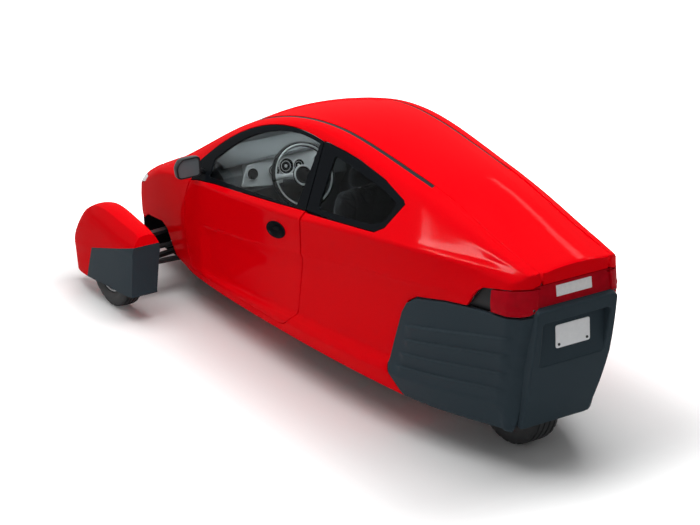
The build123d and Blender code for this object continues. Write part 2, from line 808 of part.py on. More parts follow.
def axle_prism(outline, near, far):
    with BuildPart() as prism:
        with BuildSketch(Plane.XZ.offset(-near)):
            with BuildLine():
                Polyline(*[(front_axle_x + x, z) for x, z in outline], close=True)
            make_face()
        extrude(amount=near - far)
    return prism.part


def shifted(outline, shift):
    return [(x + shift, z) for x, z in outline]


with BuildPart() as pod_hollow:
    add(pod_loft(0))
    add(axle_prism(pod_rear, 0, side_reach), mode=Mode.SUBTRACT)

with BuildPart() as pod_room:
    add(pod_loft(pod_wall))
    add(axle_prism(shifted(pod_rear, pod_wall), 0, side_reach), mode=Mode.SUBTRACT)

with BuildPart() as pod_gate:
    with BuildSketch(Plane.XZ):
        with Locations((front_axle_x, front_tyre_radius)):
            Circle(pod_opening)
        with Locations((front_axle_x, 0)):
            Rectangle(2 * pod_opening, front_tyre_radius, align=(Align.CENTER, Align.MIN))
    extrude(amount=-pod_y)

with BuildPart() as pod_skin:
    add(pod_hollow.part)
    add(pod_room.part, mode=Mode.SUBTRACT)
    add(pod_gate.part, mode=Mode.SUBTRACT)

with BuildPart() as left_pod:
    add(pod_skin.part)
    add(axle_prism(shifted(pod_skirt_edge, seam), 0, side_reach), mode=Mode.SUBTRACT)
left_pod.part.label = "left_pod"

with BuildPart() as skirt_blank:
    add(pod_skin.part)
    add(axle_prism(pod_skirt_edge, 0, side_reach), mode=Mode.INTERSECT)

with BuildPart() as left_pod_skirt:
    add(skirt_blank.part.solids().sort_by(SortBy.VOLUME)[-1])
left_pod_skirt.part.label = "left_pod_skirt"

bar_half = 138.0
tab_reach = 185.0
bar_back = king_y - 43

with BuildPart() as pod_tabs:
    for side in (1, -1):
        with Locations((front_axle_x + side * bar_half, bar_back, front_tyre_radius)):
            Box(tab_reach - bar_half, 40, 30,
                align=(Align.MIN if side > 0 else Align.MAX, Align.MIN, Align.CENTER))
    add(pod_loft(-seat_gap), mode=Mode.SUBTRACT)

with BuildPart() as left_knuckle:
    with Locations((front_axle_x, king_y - 25, (upright_low + upright_high) / 2)):
        Box(2 * upright_half, 45, upright_high - upright_low, align=(Align.CENTER, Align.MIN, Align.CENTER))
    with Locations((front_axle_x, king_y, lower_arm_z)):
        Cylinder(king_pin, upper_arm_z - lower_arm_z + arm_thick,
                 align=(Align.CENTER, Align.CENTER, Align.MIN))
    with Locations((front_axle_x, bar_back, front_tyre_radius)):
        Box(2 * bar_half, 23, 30, align=(Align.CENTER, Align.MIN, Align.CENTER))
    with BuildSketch(Plane.XZ.offset(-king_y - 10)):
        with Locations((front_axle_x, front_tyre_radius)):
            Circle(stub_radius)
    extrude(amount=-(pod_y + hub_out - king_y - 10))
    with Locations((front_axle_x, king_y - 20, rack_z + rack_radius + 2 * arm_gap)):
        Box(rack_x + 18, 30, 16, align=(Align.MIN, Align.CENTER, Align.MIN))
    add(pod_tabs.part)
left_knuckle.part.label = "left_knuckle"

rod_end = king_y - 20
rod_eye = 22.0

with BuildPart() as steering_rack:
    with BuildSketch(Plane.XZ.offset(-rod_end)):
        with Locations((front_axle_x + rack_x, rack_z)):
            Circle(rack_radius)
    extrude(amount=2 * rod_end)
    with BuildSketch(Plane.XY.offset(rack_z - rod_eye / 2)):
        with Locations((front_axle_x + rack_x, rod_end), (front_axle_x + rack_x, -rod_end)):
            Circle(1.5 * rack_radius)
    extrude(amount=rod_eye)
steering_rack.part.label = "steering_rack"

# tyres and rims, turned about the axle
bead_depth = 16.0
flange = 6.0
spoke_hole = 30.0
spoke_ring = 112.0
hub_wheel = 45.0
disc_thick = 10.0


def wheel_plane_at(x, y, z):
    return Plane(origin=(x, y, z), x_dir=(0, 0, 1), z_dir=(1, 0, 0))


def tyre_solid(x, y, radius, width):
    half = width / 2
    bead = half - 14
    with BuildPart() as tyre:
        with BuildSketch(wheel_plane_at(x, y, radius)):
            with BuildLine():
                inner = rim_radius + seat_gap
                left = [(inner, bead), (inner + bead_depth + 2, bead)]
                side_top = (radius - 14, half - 6)
                flip = lambda point: (point[0], -point[1])
                Line(left[0], left[1])
                ThreePointArc(left[1], ((left[1][0] + side_top[0]) / 2, half), side_top)
                ThreePointArc(side_top, (radius - 4, half - 16), (radius - 2, half - 26))
                ThreePointArc((radius - 2, half - 26), (radius, 0), flip((radius - 2, half - 26)))
                ThreePointArc(flip((radius - 2, half - 26)), (radius - 4, 16 - half), flip(side_top))
                ThreePointArc(flip(side_top), ((left[1][0] + side_top[0]) / 2, -half), flip(left[1]))
                Line(flip(left[1]), flip(left[0]))
                Line(flip(left[0]), left[0])
            make_face()
        revolve(axis=Axis((x, y, radius), (0, 1, 0)))
    return tyre.part


def rim_solid(x, y, radius, width, bore, hub_low, hub_high):
    bead = width / 2 - 14 - seat_gap
    with BuildPart() as rim:
        with BuildSketch(wheel_plane_at(x, y, radius)):
            with Locations((rim_radius, 0)):
                Rectangle(rim_wall, 2 * (bead - flange), align=(Align.MAX, Align.CENTER))
            for side in (1, -1):
                with Locations((rim_radius - rim_wall, side * bead)):
                    Rectangle(rim_wall, flange, align=(Align.MIN, Align.MAX if side > 0 else Align.MIN))
            with Locations((bore, -hub_high / 2)):
                Rectangle(rim_radius - rim_wall / 2 - bore, disc_thick, align=(Align.MIN, Align.CENTER))
            with Locations((bore, -hub_high)):
                Rectangle(hub_wheel - bore, hub_high + hub_low, align=(Align.MIN, Align.MIN))
        revolve(axis=Axis((x, y, radius), (0, 1, 0)))
        with BuildSketch(Plane.XZ.offset(-y)):
            with Locations((x, radius)):
                with PolarLocations(spoke_ring, 5):
                    Circle(spoke_hole)
        extrude(amount=-hub_high, mode=Mode.SUBTRACT)
    return rim.part


with BuildPart() as left_tyre:
    add(tyre_solid(front_axle_x, pod_y, front_tyre_radius, front_tyre_width))
left_tyre.part.label = "left_tyre"

with BuildPart() as left_rim:
    add(rim_solid(front_axle_x, pod_y, front_tyre_radius, front_tyre_width, stub_radius + running_gap,
                  hub_in, hub_out - 4))
left_rim.part.label = "left_rim"

with BuildPart() as rear_tyre:
    add(tyre_solid(rear_axle_x, 0, rear_tyre_radius, rear_tyre_width))
rear_tyre.part.label = "rear_tyre"

axle_radius = 14.0
rear_hub = 60.0

with BuildPart() as rear_rim:
    add(rim_solid(rear_axle_x, 0, rear_tyre_radius, rear_tyre_width, axle_radius + running_gap,
                  rear_hub, rear_hub))
rear_rim.part.label = "rear_rim"

# rear swing arm with its axle, bolted to the front wall of the tub
leg_y = rear_tyre_width / 2 + 40
leg_thick = 26.0
leg_height = 46.0
cross_x = px(tub_front - tub_wall) - seat_gap
cross_depth = 46.0

with BuildPart() as swing_arm:
    for side in (1, -1):
        with Locations((cross_x, side * leg_y, rear_tyre_radius)):
            Box(cross_x - rear_axle_x + 34, leg_thick, leg_height,
                align=(Align.MAX, Align.CENTER, Align.CENTER))
    with Locations((cross_x, 0, rear_tyre_radius)):
        Box(cross_depth, 2 * leg_y, leg_height, align=(Align.MAX, Align.CENTER, Align.CENTER))
    with Locations((rear_axle_x, 0, rear_tyre_radius)):
        Cylinder(axle_radius, 2 * leg_y, rotation=(90, 0, 0))
swing_arm.part.label = "swing_arm"

mirrored = {}
for piece in (left_arms, left_pod, left_pod_skirt, left_knuckle, left_tyre, left_rim):
    with BuildPart() as other_side:
        add(piece.part)
        mirror(about=Plane.XZ, mode=Mode.REPLACE)
    other_side.part.label = piece.part.label.replace("left", "right")
    mirrored[other_side.part.label] = other_side.part

pieces = [front_clip, left_side_frame, right_side_frame, left_door, roof_panel, roof_gutters, windscreen,
          hood, floor_pan, left_tail_lamp, right_tail_lamp, reversing_lamp, left_cladding, right_cladding,
          rear_bumper, left_door_glass, quarter_glasses, right_front_glass, door_handle, left_mirror,
          right_mirror, bulkheads, dashboard, steering_wheel, front_subframe, engine_block, left_arms,
          drive_shafts, left_pod, left_pod_skirt, left_knuckle, steering_rack, left_tyre, left_rim,
          rear_tyre, rear_rim, swing_arm]
for part in [piece.part for piece in pieces] + list(seat_parts.values()) + list(mirrored.values()):
    print(part.label, [round(solid.volume / 1e6, 3) for solid in part.solids()], part.is_valid)
    export_step(part, "parts/" + part.label + ".step")
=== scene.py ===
import math

import bpy
import numpy as np
from mathutils import Matrix, Vector, geometry, kdtree


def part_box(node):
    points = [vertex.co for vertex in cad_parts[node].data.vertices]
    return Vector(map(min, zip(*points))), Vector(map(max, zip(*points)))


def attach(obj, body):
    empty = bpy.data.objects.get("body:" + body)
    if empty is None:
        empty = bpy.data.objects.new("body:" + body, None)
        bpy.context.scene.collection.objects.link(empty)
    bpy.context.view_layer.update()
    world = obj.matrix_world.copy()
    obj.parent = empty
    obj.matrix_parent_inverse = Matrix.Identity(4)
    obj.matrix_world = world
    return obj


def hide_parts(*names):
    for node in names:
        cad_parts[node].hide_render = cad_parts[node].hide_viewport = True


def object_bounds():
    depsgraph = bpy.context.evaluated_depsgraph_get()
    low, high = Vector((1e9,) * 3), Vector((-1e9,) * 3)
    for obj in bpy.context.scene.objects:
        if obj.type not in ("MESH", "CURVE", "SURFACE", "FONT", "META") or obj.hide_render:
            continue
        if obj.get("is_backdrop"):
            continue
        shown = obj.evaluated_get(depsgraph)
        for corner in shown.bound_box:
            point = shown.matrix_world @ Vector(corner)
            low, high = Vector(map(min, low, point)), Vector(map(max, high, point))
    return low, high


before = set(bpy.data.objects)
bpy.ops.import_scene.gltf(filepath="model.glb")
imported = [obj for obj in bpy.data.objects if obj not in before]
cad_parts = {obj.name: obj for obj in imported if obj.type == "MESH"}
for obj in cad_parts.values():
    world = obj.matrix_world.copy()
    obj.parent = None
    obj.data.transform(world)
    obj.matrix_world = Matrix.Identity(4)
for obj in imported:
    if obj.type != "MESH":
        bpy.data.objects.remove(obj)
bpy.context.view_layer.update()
scene = bpy.context.scene
scene.view_settings.view_transform = "Standard"
rearAxle = -1.5085
frontAxle = 1.2855
print("frame loaded:", len(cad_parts), "nodes")


def linear(hexColour):
    raw = [int(hexColour[i:i + 2], 16) / 255 for i in (1, 3, 5)]
    return tuple(c / 12.92 if c <= 0.04045 else ((c + 0.055) / 1.055) ** 2.4 for c in raw) + (1.0,)


def addNode(material, kind, links=None, **settings):
    tree = material.node_tree
    node = tree.nodes.new(kind)
    for key, value in settings.items():
        if hasattr(node, key):
            setattr(node, key, value)
        else:
            node.inputs[key.replace("_", " ")].default_value = value
    for socket, source in (links or {}).items():
        tree.links.new(source, node.inputs[socket])
    return node


def newMaterial(name, colour, **sockets):
    material = bpy.data.materials.new(name)
    material.use_nodes = True
    shader = material.node_tree.nodes["Principled BSDF"]
    shader.inputs["Base Color"].default_value = linear(colour)
    for key, value in sockets.items():
        shader.inputs[key.replace("_", " ")].default_value = value
    return material, shader


def grain(material, shader, sizeMm, depthMm, strength=1.0):
    # pattern size in millimetres to a texture scale in object space, which is metres
    spot = addNode(material, "ShaderNodeTexCoord")
    pattern = addNode(material, "ShaderNodeTexNoise", {"Vector": spot.outputs["Object"]},
                      Scale=1000.0 / sizeMm)
    out = pattern.outputs["Fac"]
    bump = addNode(material, "ShaderNodeBump", {"Height": out}, Distance=depthMm / 1000, Strength=strength)
    material.node_tree.links.new(bump.outputs["Normal"], shader.inputs["Normal"])
    return out


def tinted(material, shader, factor, dark, light):
    # slow change between two close shades of the same colour
    ramp = addNode(material, "ShaderNodeMix", data_type="RGBA")
    ramp.inputs[6].default_value = linear(dark)
    ramp.inputs[7].default_value = linear(light)
    material.node_tree.links.new(factor, ramp.inputs[0])
    material.node_tree.links.new(ramp.outputs[2], shader.inputs["Base Color"])


def surfaced(name, colour, texture, tints, **sockets):
    # a material with its grain, as size and depth in millimetres and strength, and its two shades
    material, shader = newMaterial(name, colour, **sockets)
    factor = grain(material, shader, *texture)
    if tints:
        tinted(material, shader, factor, *tints)
    return material


# two stage enamel, sprayed and lacquered: saturated red under a clear coat with faint orange peel
redEnamel = surfaced("redEnamel", "#e4000c", (9.0, 0.012), ("#df000b", "#e8010e"),
                     Roughness=0.42, Specular_IOR_Level=0.0, Coat_Weight=0.06, Coat_Roughness=0.08)

# textured polypropylene, injection moulded: slate grey with a fine leather grain
greyMoulding = surfaced("greyMoulding", "#2d3940", (3.0, 0.25, 0.6), ("#2a353c", "#313d44"),
                        Roughness=0.55, Specular_IOR_Level=0.06)

# black ABS, moulded and satin: trims and the mirror shells
blackMoulding = surfaced("blackMoulding", "#121416", (2.5, 0.1, 0.5), ("#0f1113", "#16181b"),
                         Roughness=0.38, Specular_IOR_Level=0.2)

# black glass frit and piano black film around the windows
blackFilm = surfaced("blackFilm", "#101316", (6.0, 0.01, 0.4), ("#0e1114", "#13161a"),
                     Roughness=0.3, Specular_IOR_Level=0.0, Coat_Weight=0.06, Coat_Roughness=0.08)

# felted arch liner, pressed, matt black
archFelt = surfaced("archFelt", "#08090a", (6.0, 0.4, 0.6), ("#060708", "#0c0d0e"),
                    Roughness=0.95, Specular_IOR_Level=0.0)

# float glass, lightly tinted in front and smoked behind: clear, with a faint waviness
clearGlass = surfaced("clearGlass", "#e2e8e8", (400.0, 0.02, 0.2), None,
                      Roughness=0.0, IOR=1.08, Transmission_Weight=1.0)
smokedGlass = surfaced("smokedGlass", "#a4acaf", (400.0, 0.02, 0.2), None,
                       Roughness=0.0, IOR=1.08, Transmission_Weight=1.0)

# acrylic lenses, moulded, with inner ribs under a smooth face
redLens = surfaced("redLens", "#a8000f", (40.0, 0.8, 0.35), ("#9c0010", "#c4041c"),
                   Roughness=0.3, Specular_IOR_Level=0.0, Coat_Weight=0.1, Coat_Roughness=0.05)
clearLens = surfaced("clearLens", "#e2e3e4", (12.0, 0.4, 0.3), ("#dcdedf", "#f2f2f2"),
                     Roughness=0.2, Coat_Weight=1.0, Coat_Roughness=0.03)

# tyre rubber, moulded, slightly dusty
tyreRubber = surfaced("tyreRubber", "#17181a", (5.0, 0.25, 0.6), ("#131416", "#1e1f21"),
                      Roughness=0.72)

# chassis black over steel, and cast aluminium as it leaves the mould
chassisBlack = surfaced("chassisBlack", "#191a1c", (4.0, 0.1, 0.5), ("#151618", "#202124"),
                        Roughness=0.45, Metallic=0.2)
castAluminium = surfaced("castAluminium", "#9a9c9f", (3.0, 0.15, 0.6), ("#8f9194", "#a5a7aa"),
                         Roughness=0.42, Metallic=1.0)

# woven seat cloth, flat weave of about 2 mm threads drawn at 4 mm so that it shows
seatCloth = surfaced("seatCloth", "#2a2c2f", (4.0, 0.5, 0.8), ("#232528", "#34373a"),
                     Roughness=0.9, Sheen_Weight=0.25)
# needled trim felt on the back of the panels, grey and matt
trimCloth = surfaced("trimCloth", "#5b6266", (5.0, 0.3, 0.6), ("#555c60", "#62696d"),
                     Roughness=0.85, Specular_IOR_Level=0.1)
# polypropylene dashboard, moulded with a fine grain, and its silver fascia, sprayed
dashMoulding = surfaced("dashMoulding", "#5a5d60", (3.0, 0.2, 0.6), ("#54575a", "#626568"),
                        Roughness=0.6, Specular_IOR_Level=0.2)
silverPaint = surfaced("silverPaint", "#cfd1d4", (2.0, 0.02, 0.4), ("#c8cacd", "#d6d8db"),
                       Roughness=0.35, Metallic=0.25)
# mirror glass, silvered on the real part, drawn as a painted reflection: the grey of the floor it shows as a
# flat matt colour; the plate is enamelled aluminium left blank
mirrorPaintedReflection = surfaced("mirrorPaintedReflection", "#5d6468", (300.0, 0.01, 0.2), None,
                       Roughness=0.2, Specular_IOR_Level=0.2)
plateEnamel = surfaced("plateEnamel", "#e9ebed", (20.0, 0.05, 0.4), ("#e4e6e8", "#eff0f2"),
                       Roughness=0.4)
print("materials:", len(bpy.data.materials))


# body sections, the same stations as the solids, millimetres forward of the rear axle
bodyTable = {
    "x": [3547, 3440, 3250, 2850, 2480, 2050, 1600, 1120, 600, 150, -200, -560],
    "floor": [300, 215, 165, 150, 150, 158, 170, 180, 186, 190, 200, 220],
    "sillY": [140, 290, 380, 430, 462, 477, 478, 465, 428, 358, 256, 150],
    "rockY": [175, 322, 420, 495, 525, 538, 540, 531, 489, 410, 302, 192],
    "ledgeY": [172, 328, 428, 498, 524, 516, 515, 506, 464, 402, 303, 198],
    "rockZ": [325, 290, 270, 260, 255, 268, 288, 302, 317, 330, 350, 372],
    "ledgeZ": [345, 312, 297, 290, 282, 302, 328, 356, 375, 385, 392, 402],
    "wellY": [172, 328, 428, 498, 524, 516, 515, 506, 465, 418, 347, 288],
    "creaseZ": [372, 380, 430, 500, 535, 590, 665, 738, 808, 853, 872, 880],
    "waistY": [175, 322, 420, 495, 525, 538, 540, 531, 489, 424, 334, 262],
    "waistZ": [400, 450, 522, 690, 772, 816, 867, 922, 985, 1016, 1014, 1000],
    "railY": [128, 265, 358, 410, 405, 372, 324, 303, 289, 277, 256, 230],
    "railZ": [436, 500, 572, 732, 905, 1114, 1272, 1318, 1254, 1174, 1104, 1040],
    "slotY": [100, 215, 298, 340, 350, 300, 260, 238, 224, 212, 208, 200],
    "slotZ": [442, 516, 594, 756, 935, 1152, 1288, 1328, 1277, 1206, 1117, 1050],
    "roofZ": [446, 528, 620, 783, 966, 1184, 1310, 1357, 1320, 1249, 1149, 1068],
}
cornerTrim = [25, 14, 16, 30, 15, 22, 45, 40]  # how far each corner is rounded back, millimetres
edgeSteps = [6, 5, 4, 10, 7, 4, 14, 6]
cornerSteps = 6
roofSteps = 26
tailCorner = [(0, 170), (22, 226), (75, 272), (215, 400)]  # ahead of the tail face, half breadth
tailFace = {"foot": -239, "lean": 0.329, "top": 885, "lip": -521}  # leaning face, upright lip above
noLimit = 9999
bodyEnds, stationStep = (-556, 3527.5), 11.0
shoulder = (28, 34)  # in from the waist and up from it
roofShare = 0.62  # where the roof arc starts, of the way from the slot
noseRound, noseSpan, noseStride = 22, 80, 0.27
noseMiddle = np.array([0, 373])


def splineThrough(knots, values, where):
    # natural cubic spline, as the lofted solids follow
    order = np.argsort(knots)
    x, y = np.array(knots, float)[order], np.array(values, float)[order]
    h = np.diff(x)
    system = np.eye(len(x))
    right = np.zeros(len(x))
    for i in range(1, len(x) - 1):
        system[i, i - 1:i + 2] = h[i - 1], 2 * (h[i - 1] + h[i]), h[i]
        right[i] = 6 * ((y[i + 1] - y[i]) / h[i] - (y[i] - y[i - 1]) / h[i - 1])
    m = np.linalg.solve(system, right)
    k = np.clip(np.searchsorted(x, where) - 1, 0, len(h) - 1)
    a, b = x[k + 1] - where, where - x[k]
    return (m[k] * a ** 3 + m[k + 1] * b ** 3) / (6 * h[k]) + (y[k] / h[k] - m[k] * h[k] / 6) * a \
        + (y[k + 1] / h[k] - m[k + 1] * h[k] / 6) * b


def roundedSection(corners, trims, steps):
    # corners is a list of (y, z) arrays, one value for each station; returns the rounded line
    line = []
    count = len(corners)
    entry = [None] * count
    leave = [None] * count
    for i in range(count):
        here = np.stack(corners[i], -1)
        if 0 < i < count - 1:
            for store, other in ((entry, corners[i - 1]), (leave, corners[i + 1])):
                away = np.stack(other, -1) - here
                size = np.linalg.norm(away, axis=-1, keepdims=True) + 1e-9
                store[i] = here + away / size * np.minimum(trims[i], 0.42 * size)
        else:
            entry[i] = leave[i] = here
    for i in range(count - 1):
        here = np.stack(corners[i], -1)
        if i > 0:
            for t in np.linspace(0, 1, cornerSteps, endpoint=False):
                line.append(entry[i] * (1 - t) ** 2 + here * 2 * t * (1 - t) + leave[i] * t * t)
        for t in np.linspace(0, 1, steps[i], endpoint=False):
            line.append(leave[i] * (1 - t) + entry[i + 1] * t)
    line.append(entry[-1])
    return line


def arcThrough(a, b, c, count=24):
    # circle arc through three points in a plane
    ax, ay, bx, by, cx, cy = *a, *b, *c
    d = 2 * (ax * (by - cy) + bx * (cy - ay) + cx * (ay - by))
    squareA, squareB, squareC = ax * ax + ay * ay, bx * bx + by * by, cx * cx + cy * cy
    ux = (squareA * (by - cy) + squareB * (cy - ay) + squareC * (ay - by)) / d
    uy = (squareA * (cx - bx) + squareB * (ax - cx) + squareC * (bx - ax)) / d
    r = math.hypot(ax - ux, ay - uy)
    t0, t1, t2 = (math.atan2(y - uy, x - ux) for x, y in (a, b, c))
    turn = (t2 - t0) % (2 * math.pi)
    if (t1 - t0) % (2 * math.pi) > turn:
        turn -= 2 * math.pi
    return [(ux + r * math.cos(t0 + turn * k / count), uy + r * math.sin(t0 + turn * k / count))
            for k in range(count + 1)]


class Surface:
    # a skin on a grid of stations and section points, with smooth normals
    def __init__(self, stations, points, middle):
        self.x = stations
        self.grid = points
        steps = np.linalg.norm(np.diff(points[middle], axis=0), axis=-1)
        self.s = np.concatenate([[0], np.cumsum(steps)])
        across = np.gradient(points, axis=1)
        along = np.gradient(points, axis=0)
        normal = np.cross(across, along)
        self.normal = normal / (np.linalg.norm(normal, axis=-1, keepdims=True) + 1e-12)

    def at(self, table, x, s):
        i = np.clip(np.searchsorted(self.x, x) - 1, 0, len(self.x) - 2)
        j = np.clip(np.searchsorted(self.s, s) - 1, 0, len(self.s) - 2)
        u = ((x - self.x[i]) / (self.x[i + 1] - self.x[i]))[:, None]
        v = ((s - self.s[j]) / (self.s[j + 1] - self.s[j]))[:, None]
        return (table[i, j] * (1 - u) * (1 - v) + table[i + 1, j] * u * (1 - v)
                + table[i, j + 1] * (1 - u) * v + table[i + 1, j + 1] * u * v)

    def row(self, x):
        i = int(np.clip(np.searchsorted(self.x, x) - 1, 0, len(self.x) - 2))
        u = (x - self.x[i]) / (self.x[i + 1] - self.x[i])
        return self.grid[i] * (1 - u) + self.grid[i + 1] * u


def bodySurface():
    stations = np.arange(*bodyEnds, stationStep)
    column = {key: splineThrough(bodyTable["x"], values, stations) for key, values in bodyTable.items()}
    corners = [
        (np.zeros_like(stations), column["floor"]),
        (column["sillY"], column["floor"]),
        (column["rockY"], column["rockZ"]),
        (column["ledgeY"], column["ledgeZ"]),
        (column["wellY"], column["creaseZ"]),
        (column["waistY"], column["waistZ"]),
        (column["waistY"] - shoulder[0], column["waistZ"] + shoulder[1]),
        (column["railY"], column["railZ"]),
        (column["slotY"], column["slotZ"]),
        (column["slotY"] * roofShare, column["slotZ"] + (column["roofZ"] - column["slotZ"]) * roofShare),
    ]
    line = roundedSection(corners, [0] + cornerTrim + [0], [5] + edgeSteps)
    # roof arc from the last corner to the middle, level at the top
    last = line[-1]
    for t in np.linspace(0, 1, roofSteps)[1:]:
        y = last[:, 0] * (1 - t)
        z = column["roofZ"] - (column["roofZ"] - last[:, 1]) * (1 - t) ** 2
        line.append(np.stack([y, z], -1))
    half = np.stack(line, 1)
    # tail corners rounded in plan, measured ahead of the leaning tail face
    leaning = tailFace["foot"] - tailFace["lean"] * half[..., 1]
    face = np.where(half[..., 1] < tailFace["top"], leaning, tailFace["lip"])
    curve = np.array(arcThrough(*tailCorner[:3]) + [tailCorner[3]])
    limit = np.interp(stations[:, None] - face, curve[:, 0], curve[:, 1])
    limit[stations[:, None] - face > tailCorner[3][0]] = noLimit
    half[..., 0] = np.minimum(half[..., 0], limit)
    # rounded nose: the last section drawn in, then closed flat
    rows, places, along = [row for row in half], list(stations), list(stations)
    for turn in np.linspace(15, 90, 6):
        inset = noseRound * (1 - math.cos(math.radians(turn)))
        rows.append((half[-1] - noseMiddle) * (1 - inset / noseSpan) + noseMiddle)
        places.append(stations[-1] + noseRound * math.sin(math.radians(turn)))
        along.append(along[-1] + noseRound * noseStride)
    for scale in np.linspace(1, 0.04, 12)[1:]:
        rows.append((rows[len(stations) + 5] - noseMiddle) * scale + noseMiddle)
        places.append(places[-1])
        along.append(along[-1] + stationStep)
    half = np.stack(rows)
    other = half[:, -2::-1].copy()
    other[:, :, 0] *= -1
    both = np.concatenate([half, other], 1) / 1000
    x = np.array(places) / 1000 + rearAxle
    points = np.concatenate([np.broadcast_to(x[:, None, None], both.shape[:2] + (1,)), both], -1)
    return Surface(np.array(along) / 1000 + rearAxle, points, len(stations) // 2)


body = bodySurface()
roofMiddle = (len(body.s) - 1) // 2
print("body skin grid:", body.grid.shape)


def sOfHeight(surface, x, z, side):
    # section position of a height on the left (1) or right (-1) flank
    row = surface.row(x)
    middle = (len(surface.s) - 1) // 2
    half = row[:middle + 1] if side > 0 else row[::-1][:middle + 1]
    s = surface.s[:middle + 1] if side > 0 else surface.s[::-1][:middle + 1]
    return float(np.interp(z, half[:, 2], s))


def sOfBreadth(surface, x, y):
    row = surface.row(x)
    beltStart = roofMiddle // 2
    part = row[beltStart:len(row) - beltStart]
    return float(np.interp(-y, -part[:, 1], surface.s[beltStart:len(row) - beltStart]))


def station(x):
    return x / 1000 + rearAxle


def softened(points, radius, steps=5):
    # closed outline with its corners rounded
    out = []
    count = len(points)
    for i in range(count):
        before, here, after = (np.array(points[(i + k) % count], float) for k in (-1, 0, 1))
        a, b = before - here, after - here
        la, lb = np.linalg.norm(a), np.linalg.norm(b)
        bend = 1 + (a @ b) / (la * lb + 1e-9)
        if bend < 0.02:
            out.append(tuple(here))
            continue
        start, end = here + a / la * min(radius, la * 0.45), here + b / lb * min(radius, lb * 0.45)
        for t in np.linspace(0, 1, steps):
            out.append(tuple(start * (1 - t) ** 2 + here * 2 * t * (1 - t) + end * t * t))
    return out


def spread(points, spacing):
    # open line with points added so that none lie further apart than the spacing, all in millimetres
    path = []
    for (xa, ya), (xb, yb) in zip(points, points[1:]):
        count = max(1, int(math.hypot(xb - xa, yb - ya) / spacing))
        path += [(xa + (xb - xa) * k / count, ya + (yb - ya) * k / count) for k in range(count)]
    return path + [points[-1]]


def flankPath(points, side, spacing=12):
    # side view line, station and height in millimetres, to skin positions
    return [(station(x), sOfHeight(body, station(x), z / 1000, side)) for x, z in spread(points, spacing)]


def flankOutline(points, side, spacing=12):
    return flankPath(points + points[:1], side, spacing)[:-1]


def topPath(points, side, grow=0.0, spacing=12):
    # top view line, station and half breadth in millimetres, moved outward, to skin positions
    return [(station(x), sOfBreadth(body, station(x), side * (y + grow) / 1000))
            for x, y in spread(points, spacing)]


def underPath(xa, xb, side, column, spacing=0.03):
    # line along the underside, following one column of the section grid
    s = body.s[column] if side > 0 else body.s[-1 - column]
    count = max(2, int(abs(xb - xa) / spacing))
    return [(xa + (xb - xa) * k / count, s) for k in range(count + 1)]


def signedArea(loop):
    p = np.array(loop)
    q = np.roll(p, -1, 0)
    return 0.5 * np.sum(p[:, 0] * q[:, 1] - q[:, 0] * p[:, 1])


def movedLoop(loop, distance):
    # outline moved outward by a distance, inward when negative
    p = np.array(loop if signedArea(loop) > 0 else loop[::-1])
    along = np.roll(p, -1, 0) - np.roll(p, 1, 0)
    along /= np.linalg.norm(along, axis=1, keepdims=True) + 1e-12
    return p + np.stack([along[:, 1], -along[:, 0]], 1) * distance


def insideLoop(loop, points):
    x, y = points[:, 0], points[:, 1]
    inside = np.zeros(len(points), bool)
    p = np.asarray(loop)
    q = np.roll(p, -1, 0)
    for (xa, ya), (xb, yb) in zip(p, q):
        crosses = (ya > y) != (yb > y)
        if crosses.any():
            inside ^= crosses & (x < (xb - xa) * (y - ya) / (yb - ya + 1e-15) + xa)
    return inside


def meshObject(name, vertices, faces, materials, indices=None, normals=None, smooth=True):
    mesh = bpy.data.meshes.new(name)
    mesh.from_pydata([tuple(v) for v in vertices], [], [tuple(f) for f in faces])
    for material in materials:
        mesh.materials.append(material)
    if indices is not None:
        mesh.polygons.foreach_set("material_index", indices)
    if smooth:
        mesh.polygons.foreach_set("use_smooth", [True] * len(mesh.polygons))
    mesh.update()
    if normals is not None:
        mesh.normals_split_custom_set_from_vertices([tuple(n) for n in normals])
    piece = bpy.data.objects.new(name, mesh)
    scene.collection.objects.link(piece)
    return piece


def place(piece, bodyName, slotName, *nodes):
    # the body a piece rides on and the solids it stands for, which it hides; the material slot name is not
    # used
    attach(piece, bodyName)
    if nodes:
        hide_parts(*nodes)
    return piece


def panelSpec(materials, depth, step, roll=0.002, gap=0.0, **more):
    # how a panel is made: depth of its flange, mesh step, rolled edge and gap to its neighbours, in metres
    return dict(more, materials=materials, depth=depth, step=step, roll=roll, gap=gap)


def evenly(amount):
    # the whole panel moved out by one amount, in when negative
    return lambda points: np.full(len(points), amount)


